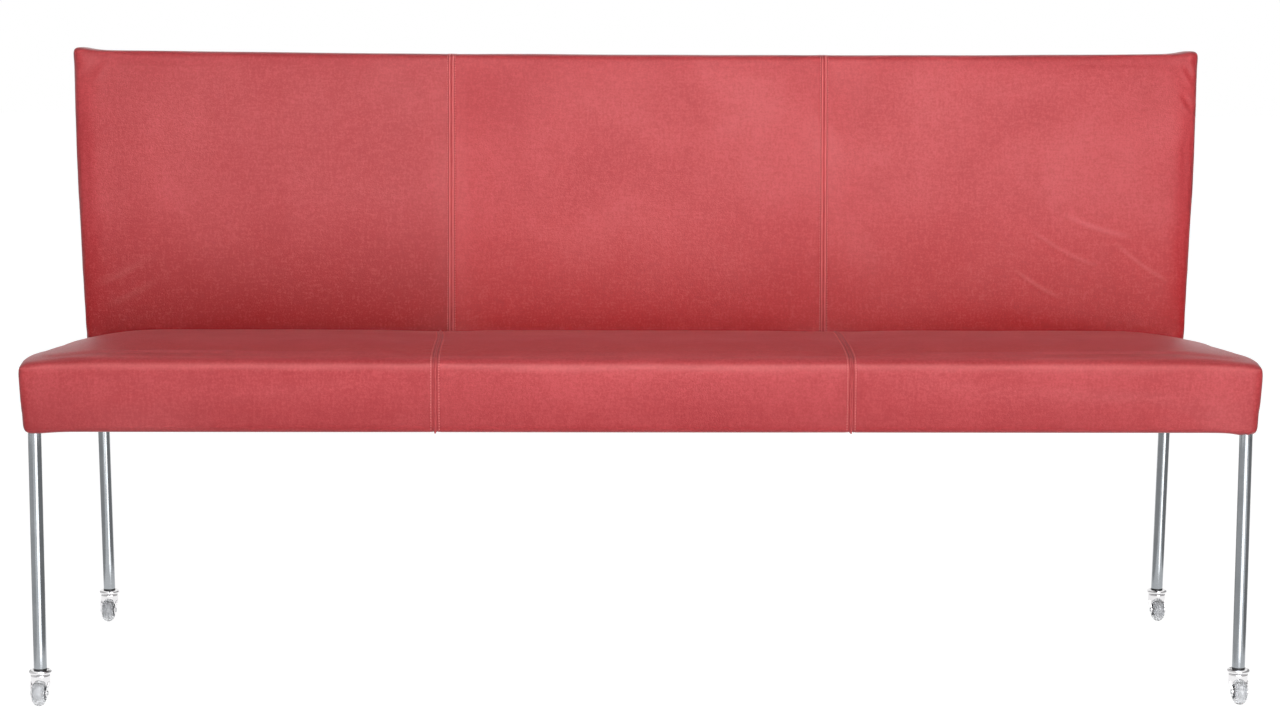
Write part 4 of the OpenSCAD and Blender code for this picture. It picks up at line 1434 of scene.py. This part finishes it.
    @staticmethod
    def stroke(x: np.ndarray, along: np.ndarray, crease: Crease) -> np.ndarray:
        """Depth of one crease at each point."""
        start, end = np.array(crease.start), np.array(crease.end)
        run = end - start
        t = np.clip(((x - start[0]) * run[0] + (along - start[1]) * run[1]) / float(run @ run), 0, 1)
        bend = crease.bend * np.linalg.norm(run) * np.sin(math.pi * t)
        away = np.hypot(x - start[0] - run[0] * t, along - start[1] - run[1] * t + bend)
        taper = np.sin(math.pi * np.clip(0.06 + 0.88 * t, 0, 1))
        near = away / crease.width
        lip = crease.lip * np.exp(-((near - crease.lip_place) / crease.lip_width) ** 2)
        return crease.depth * taper * (np.exp(-near ** 2) - lip)

    def gather(self, points: np.ndarray) -> np.ndarray:
        """Draws the leather down a little round the leg tops and out at the back's top corners."""
        s = self.form.s
        if self.part is Part.BACK:
            across, up = s.back_half - np.abs(points[:, 0]), s.top - points[:, 2]
            pull = self.corner_pull * np.exp(-(np.hypot(across, up) / self.corner_reach) ** 2)
            points[:, 0] += np.sign(points[:, 0]) * pull
            points[:, 2] += pull
        start, run = self.leg_rise
        for leg_y in (s.leg_front_inset, s.rear - s.leg_rear_inset):
            away = np.hypot(np.abs(points[:, 0]) - s.leg_x, points[:, 1] - s.shift - leg_y)
            low = 1 - smooth_step((points[:, 2] - s.underside - start) / run)
            turn = np.arctan2(points[:, 1] - s.shift - leg_y, points[:, 0] - s.leg_x)
            ripple = 1 + self.gather_share * np.sin(turn * self.leg_gathers)
            points[:, 2] -= self.leg_pull * ripple * low * np.exp(-(away / self.leg_reach) ** 2)
        return points

    def bow(self, points: np.ndarray) -> np.ndarray:
        """Curves the seams of the seat's top outwards towards the crease."""
        if self.part is Part.SEAT:
            points[:, 0] += seam_bow(self.form.s, points[:, 0], points[:, 1] - self.form.s.shift)
        return points

    def rooms(self) -> list[Piece]:
        """The spaces for the frame, the legs and the foam that are cut from the panel."""
        s = self.form.s
        core_half = s.leg_x + s.leg_d / 2 + s.leg_gap
        core_front = s.leg_front_inset - s.leg_d / 2 - s.leg_gap
        core_rear = s.rear - s.rear_wall
        over, step = 0.012, MM
        cutters = [
            box_object("frame_room", (-core_half, core_front + s.shift, s.underside + s.hem_t),
                       (core_half, core_rear + s.shift, s.foam_z)),
            box_object("hem_room", (-core_half + s.hem_w, core_front + s.hem_w + s.shift, s.underside - over),
                       (core_half - s.hem_w, core_rear - s.hem_w + s.shift, s.underside + s.hem_t + step)),
        ]
        if self.part is Part.SEAT:
            outline, half = self.form.seat_core(), s.seat_half - s.seat_taper - s.seat_end_wall
        else:
            outline, half = self.form.back_core(), s.back_half - s.back_waist - s.back_end_wall
        cutters.append(outward(prism("foam_room", [(y + s.shift, z) for y, z in outline], -half, half)))
        if self.side is not Side.MIDDLE:
            sign = -1 if self.side is Side.LEFT else 1
            if self.part is Part.SEAT:
                low = high = s.leg_front_inset
            else:
                high = s.rear - s.leg_rear_inset
                low = high + 2 * over * math.tan(math.radians(s.leg_rake))
            foot = Vector((sign * s.leg_x, low + s.shift, s.underside - 2 * over))
            head = Vector((sign * s.leg_x, high + s.shift, s.underside + s.hem_t + step))
            cutters.append(rod_object("leg_room", foot, head, s.leg_d / 2 + s.leg_gap))
        return cutters


SEAM_BOW = 0.016
BOW_START = 0.10
BOW_REACH = 0.085


def seam_bow(s: BenchSizes, x: np.ndarray, y: np.ndarray) -> np.ndarray:
    """How far the seat's seams curve outwards, at each place.

    Args:
        s: the bench's sizes.
        x: places across the bench.
        y: depths from the seat's front face.

    Returns:
        The move along X.
    """
    near = np.exp(-((np.abs(x) - s.seam_x) / BOW_REACH) ** 2)
    return np.sign(x) * SEAM_BOW * smooth_step((y - BOW_START) / (s.seat_d - BOW_START)) * near


class Upholstery:
    """The six leather panels, simulated together."""

    def __init__(self, sizes: BenchSizes, finishes: FinishStore) -> None:
        """Lists the panels."""
        self.form = CoverForm(sizes)
        self.finishes = finishes
        self.panels = [LeatherPanel(part, side, self.form) for part in Part for side in Side]

    def build(self) -> None:
        """Builds, swells and dresses every panel."""
        for panel in self.panels:
            panel.build()
        self.simulate()
        for panel in self.panels:
            piece = panel.finish()
            self.finishes.dress(piece, Slot.LEATHER, leather_shade_copy(panel.part, panel.side))
            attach(piece, "bench")
            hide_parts(panel.node)
            log.info("%s: %d points", panel.name, len(piece.data.vertices))

    def simulate(self) -> None:
        """Runs the cloth of all the panels through the same frames."""
        scene = bpy.context.scene
        scene.frame_start, scene.frame_end = 1, SIMULATED_FRAMES
        scene.frame_set(1)
        for panel in self.panels:
            panel.prepare()
        for frame_number in range(1, SIMULATED_FRAMES + 1):
            scene.frame_set(frame_number)
        for panel in self.panels:
            panel.settle()
        scene.frame_set(1)


# Seams


@dataclass
class SeamRun:
    """One seam: a raised fold of hide between two panels, with a row of stitches on each side.

    Attributes:
        part: seat or back.
        side: the end panel that it joins to the middle one.
        form: the surfaces that it lies on.
        panels: the finished panels on its two sides.
        fold_r: radius of the fold.
        fold_sink: how deep the back's fold lies in its groove.
        wobble: how far the fold strays.
        wobble_turn: turn of that wobble from one point of the path to the next.
        start_below: how far below the crease the back's seam starts.
        row_gap: distance of a row of stitches from the seam.
        spacing: distance of the points of the path.
        points_a_stitch: points from one stitch to the next.
        free_ends: points without a stitch at each end.
        stitch: half the length of a stitch along X, along the seam and out of the hide.
        stitch_lift: share of its half height by which a stitch stands out.
        probe_from: height from which the hide is looked for under a stitch.
        probe_length: how far it is looked for.
    """

    part: Part
    side: Side
    form: CoverForm
    panels: tuple[Piece, Piece]
    fold_r: float = 0.0011
    fold_sink: float = 0.0009
    wobble: float = 0.00018
    wobble_turn: float = 0.43
    start_below: float = 0.004
    row_gap: float = 0.0060
    spacing: float = 0.0020
    points_a_stitch: int = 2
    free_ends: int = 3
    stitch: Triple = (0.00060, 0.0015, 0.00045)
    stitch_lift: float = 0.4
    probe_from: float = 0.012
    probe_length: float = 0.03

    @property
    def sign(self) -> float:
        """Direction of the seam from the middle of the bench."""
        return -1.0 if self.side is Side.LEFT else 1.0

    def path(self) -> np.ndarray:
        """Evenly spaced points of the seam in its groove, from the front or the crease on."""
        s = self.form.s
        if self.part is Part.SEAT:
            points = self.form.seat_ring(s.seam_x)[:CoverForm.front_points + CoverForm.nose_points
                                                   + CoverForm.top_points]
        else:
            points = self.form.back_ring(s.seam_x)
            points = points[next(i for i, p in enumerate(points) if p[2] > s.crease - self.start_below):]
        points[:, 0] *= self.sign
        if self.part is Part.SEAT:
            points[:, 0] += seam_bow(s, points[:, 0], points[:, 1] - s.shift)
        steps = np.linalg.norm(np.diff(points, axis=0), axis=1)
        run = np.concatenate([[0], np.cumsum(steps)])
        even = np.arange(0, run[-1], self.spacing)
        return np.stack([np.interp(even, run, points[:, k]) for k in range(3)], axis=1)

    @staticmethod
    def frames(points: np.ndarray) -> tuple[np.ndarray, np.ndarray]:
        """Directions along the path and out of the surface, at each point."""
        along = np.gradient(points, axis=0)
        along /= np.linalg.norm(along, axis=1, keepdims=True)
        out = np.cross(along, np.array([1.0, 0.0, 0.0]))
        out /= np.linalg.norm(out, axis=1, keepdims=True)
        return along, out * np.sign(-out[len(out) // 8, 1] or 1)

    def fold(self) -> Piece:
        """Builds the raised fold as a swept round, made a mesh."""
        points = self.path()
        _, out = self.frames(points)
        wobble = self.wobble * np.sin(np.arange(len(points)) * self.wobble_turn)
        points = points + out * (wobble - self.fold_sink * (self.part is Part.BACK))[:, None]
        deselect_all()
        curve = bpy.data.curves.new("fold_line", "CURVE")
        curve.dimensions = "3D"
        curve.bevel_depth = self.fold_r
        curve.bevel_resolution = 3
        curve.use_fill_caps = True
        spline = curve.splines.new("POLY")
        spline.points.add(len(points) - 1)
        for point, place in zip(spline.points, points):
            point.co = (*place, 1.0)
        name = f"{self.part.value}_seam_fold_{self.side.value}"
        obj = bpy.data.objects.new(name, curve)
        bpy.context.scene.collection.objects.link(obj)
        activate(obj)
        bpy.ops.object.convert(target="MESH")
        return smooth_by_angle(outward(named(bpy.context.object, name)), 50)

    def stitches(self, outer: bool) -> Piece:
        """Builds one row of stitches.

        Args:
            outer: whether the row lies on the end panel, else on the middle one.

        Returns:
            The row.
        """
        panel = self.panels[0] if outer else self.panels[1]
        tree = BVHTree.FromObject(panel, bpy.context.evaluated_depsgraph_get())
        points = self.path()
        along, out = self.frames(points)
        offset = self.sign * self.row_gap * (1 if outer else -1)
        deselect_all()
        bpy.ops.mesh.primitive_ico_sphere_add(subdivisions=1, radius=1.0)
        pattern = bpy.context.object
        shape, faces = coordinates(pattern), [tuple(p.vertices) for p in pattern.data.polygons]
        bpy.data.objects.remove(pattern, do_unlink=True)
        vertices: list[np.ndarray] = []
        polygons: list[tuple[int, ...]] = []
        for index in range(self.free_ends, len(points) - self.free_ends, self.points_a_stitch):
            origin = points[index] + np.array([offset, 0, 0]) + out[index] * self.probe_from
            hit, normal, _, _ = tree.ray_cast(Vector(origin), Vector(-out[index]), self.probe_length)
            if hit is None:
                continue
            axes = np.array([np.array([1.0, 0.0, 0.0]) * self.stitch[0], along[index] * self.stitch[1],
                             np.array(normal) * self.stitch[2]])
            start = len(vertices) * len(shape)
            lift = np.array(normal) * self.stitch[2] * self.stitch_lift
            vertices.append(shape @ axes + np.array(hit) + lift)
            polygons += [tuple(start + i for i in face) for face in faces]
        row = mesh_object(f"{self.part.value}_stitches_{self.side.value}_{'outer' if outer else 'inner'}",
                          np.vstack(vertices), polygons)
        return smooth_by_angle(outward(row), 80)


class SeamWork:
    """All the seams of the bench."""

    def __init__(self, upholstery: Upholstery, finishes: FinishStore) -> None:
        """Keeps the finished panels."""
        self.panels = {(p.part, p.side): p.obj for p in upholstery.panels}
        self.form = upholstery.form
        self.finishes = finishes

    def build(self) -> None:
        """Builds each seam's fold and its two rows of stitches."""
        for part in Part:
            for side in (Side.LEFT, Side.RIGHT):
                beside = (self.panels[part, side], self.panels[part, Side.MIDDLE])
                run = SeamRun(part, side, self.form, beside)
                rows = ((run.stitches(outer), THREAD) for outer in (True, False))
                for piece, finish in ((run.fold(), leather_shade_copy(part, side)), *rows):
                    self.finishes.dress(piece, Slot.LEATHER, finish)
                    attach(piece, "bench")
                    log.info("%s", piece.name)


# Studio


@dataclass(frozen=True)
class Lamp:
    """An area lamp, aimed at a point."""

    name: str
    place: Triple
    aim: Triple
    size: tuple[float, float]
    watts: float
    spread: float = 180.0
    mirrored: bool = True

    def build(self) -> Piece:
        """Adds the lamp."""
        deselect_all()
        bpy.ops.object.light_add(type="AREA", location=self.place)
        lamp = bpy.context.object
        lamp.name = self.name
        lamp.data.shape = "RECTANGLE"
        lamp.data.size, lamp.data.size_y = self.size
        lamp.data.energy = self.watts
        lamp.data.spread = math.radians(self.spread)
        lamp.visible_camera = False
        lamp.visible_glossy = self.mirrored
        lamp.rotation_euler = (Vector(self.aim) - Vector(self.place)).to_track_quat("-Z", "Y").to_euler()
        return lamp


@dataclass(frozen=True)
class Card:
    """A card that only reflections see, and only from its front."""

    name: str
    place: Triple
    turn: float
    size: tuple[float, float]
    shade: float

    def build(self) -> Piece:
        """Adds the card, upright and turned about Z."""
        deselect_all()
        bpy.ops.mesh.primitive_plane_add(size=1, location=self.place,
                                         rotation=(math.radians(90), 0, math.radians(self.turn)))
        card = named(bpy.context.object, self.name)
        card.scale = (self.size[0], self.size[1], 1)
        bake_place(card)
        material, n = new_material(self.name)
        sides = n.add("ShaderNodeMixShader")
        n.link(n.add("ShaderNodeNewGeometry").outputs["Backfacing"], sides.inputs[0])
        n.link(n.add("ShaderNodeEmission", Strength=self.shade).outputs[0], sides.inputs[1])
        n.link(n.add("ShaderNodeBsdfTransparent").outputs[0], sides.inputs[2])
        n.link(sides.outputs[0], n.tree.nodes["Material Output"].inputs["Surface"])
        card.data.materials.append(material)
        card.visible_camera = card.visible_diffuse = card.visible_shadow = card.visible_transmission = False
        return card


@dataclass(frozen=True)
class LegRow:
    """How the cards stand round the two legs of a row.

    Attributes:
        name: front or rear.
        foot_y: place of the feet along the depth.
        turn: how far the bright strip stands round the leg from the camera's side, in degrees.
        away: distance of the strip.
        width: width of the strip.
        dusk: shade of the card on the left.
    """

    name: str
    foot_y: float
    turn: float
    away: float
    width: float
    dusk: float


@dataclass(frozen=True)
class Studio:
    """Camera, world, floor, lamps and cards."""

    lens: float = 73.41
    camera_place: Triple = (-0.0815, -4.01985, 0.9725)
    yaw: float = 1.17
    pitch: float = 7.05
    roll: float = 0.23
    world_level: float = 0.05
    floor_shade: float = 0.90
    floor_glow: float = 0.82
    floor_white: float = 1.22
    lamps: tuple[Lamp, ...] = (
        Lamp("front_softbox", (0.1, -4.3, 1.75), (0.1, 0.2, 0.86), (3.2, 0.6), 2.7, spread=20.0),
        Lamp("right_softbox", (1.75, -3.6, 1.1), (0.0, 0.0, 0.8), (1.1, 1.6), 21.0),
        Lamp("overhead_softbox", (0.1, -2.5, 3.0), (0.1, 0.1, 0.7), (3.2, 0.7), 46.0),
        Lamp("floor_bounce", (0.1, -1.75, 0.03), (0.1, 0.2, 0.95), (3.4, 1.3), 42.0, mirrored=False),
    )
    cards: tuple[Card, ...] = (
        Card("right_front_card", (2.95, -2.6, 0.9), 232.0, (1.9, 2.4), 0.22),
        Card("right_card", (3.5, 1.2, 0.9), 270.0, (6.2, 2.4), 0.22),
        Card("left_card", (-3.2, 0.8, 0.9), 90.0, (4.6, 2.4), 0.55),
    )
    foot_x: float = 0.88
    leg_rows: tuple[LegRow, ...] = (LegRow("front", -0.27, 16.0, 0.24, 0.15, 0.66),
                                    LegRow("rear", 0.28, 28.0, 0.22, 0.095, 0.50))
    strip_h: float = 0.39
    strip_z: float = 0.205
    strip_glow: float = 3.6
    side_z: float = 0.18
    side_h: float = 0.34
    shade_place: tuple[float, float] = (0.30, 0.05)
    shade_w: float = 0.62
    dusk_place: tuple[float, float] = (-0.22, -0.10)
    dusk_w: float = 0.60
    shade: float = 0.34

    def leg_cards(self) -> list[Card]:
        """Lists a bright strip and a dark card for each leg, so its tube shows a narrow highlight."""
        cards = []
        for row in self.leg_rows:
            for side, x in (("left", -self.foot_x), ("right", self.foot_x)):
                y, name = row.foot_y, f"{row.name}_{side}"
                turn = math.degrees(math.atan2(self.camera_place[0] - x, y - self.camera_place[1])) + row.turn
                across, along = math.sin(math.radians(turn)), math.cos(math.radians(turn))
                ahead = (x + row.away * across, y - row.away * along, self.strip_z)
                right = (x + self.shade_place[0], y + self.shade_place[1], self.side_z)
                left = (x + self.dusk_place[0], y + self.dusk_place[1], self.side_z)
                strip = (row.width, self.strip_h)
                cards += [Card(f"{name}_strip", ahead, 180 + turn, strip, self.strip_glow),
                          Card(f"{name}_shade", right, 270.0, (self.shade_w, self.side_h), self.shade),
                          Card(f"{name}_dusk", left, 90.0, (self.dusk_w, self.side_h), row.dusk)]
        return cards

    def build(self) -> None:
        """Sets up the whole studio."""
        self.camera()
        self.world()
        self.floor()
        for item in (*self.lamps, *self.cards, *self.leg_cards()):
            item.build()
        bpy.context.scene.view_settings.view_transform = "Standard"

    def camera(self) -> None:
        """Adds the camera at the photograph's viewpoint."""
        deselect_all()
        bpy.ops.object.camera_add(location=self.camera_place)
        camera = bpy.context.object
        camera.data.sensor_fit = "HORIZONTAL"
        camera.data.sensor_width = 36.0
        camera.data.lens = self.lens
        yaw, pitch, roll = (math.radians(a) for a in (self.yaw, self.pitch, self.roll))
        ahead = Vector((math.sin(yaw) * math.cos(pitch), math.cos(yaw) * math.cos(pitch), -math.sin(pitch)))
        right = Vector((math.cos(yaw), -math.sin(yaw), 0))
        up = right.cross(ahead)
        turned_right = right * math.cos(roll) + up * math.sin(roll)
        turned_up = up * math.cos(roll) - right * math.sin(roll)
        axes = Matrix((turned_right, turned_up, -ahead)).transposed()
        camera.matrix_world = Matrix.Translation(self.camera_place) @ axes.to_4x4()
        bpy.context.scene.camera = camera

    def world(self) -> None:
        """White for the camera and for reflections, a plain level for the light."""
        world = bpy.data.worlds.new("white_room")
        bpy.context.scene.world = world
        world.use_nodes = True
        n = Nodes(world.node_tree)
        level = n.ramp(n.seen(), 0.0, 1.0, self.world_level, 1.0)
        background = world.node_tree.nodes["Background"]
        background.inputs["Color"].default_value = (1, 1, 1, 1)
        n.link(level, background.inputs["Strength"])

    def floor(self) -> None:
        """A wide pale floor that keeps the bench's shadow and meets the white room."""
        deselect_all()
        bpy.ops.mesh.primitive_circle_add(vertices=64, radius=30.0, fill_type="NGON", location=(0, 0, 0))
        floor = named(bpy.context.object, "studio_floor")
        material, n = new_material("pale_floor")
        n.tree.nodes.remove(n.tree.nodes["Principled BSDF"])
        diffuse = n.add("ShaderNodeBsdfDiffuse", Color=rgba((self.floor_shade,) * 3))
        glow = n.add("ShaderNodeEmission", Color=rgba((1.0, 1.0, 1.0)), Strength=self.floor_white)
        mix = n.add("ShaderNodeMixShader")
        n.link(n.math("MULTIPLY", n.seen(), self.floor_glow), mix.inputs[0])
        n.link(diffuse.outputs[0], mix.inputs[1])
        n.link(glow.outputs[0], mix.inputs[2])
        n.link(mix.outputs[0], n.tree.nodes["Material Output"].inputs["Surface"])
        floor.data.materials.append(material)


def main() -> None:
    """Builds the studio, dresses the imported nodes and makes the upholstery."""
    logging.basicConfig(level=logging.INFO, format="%(message)s")
    sizes = BenchSizes()
    Studio().build()
    finishes = FinishStore()
    finishes.dress_cad_nodes()
    upholstery = Upholstery(sizes, finishes)
    upholstery.build()
    SeamWork(upholstery, finishes).build()


if __name__ == "__main__":
    main()
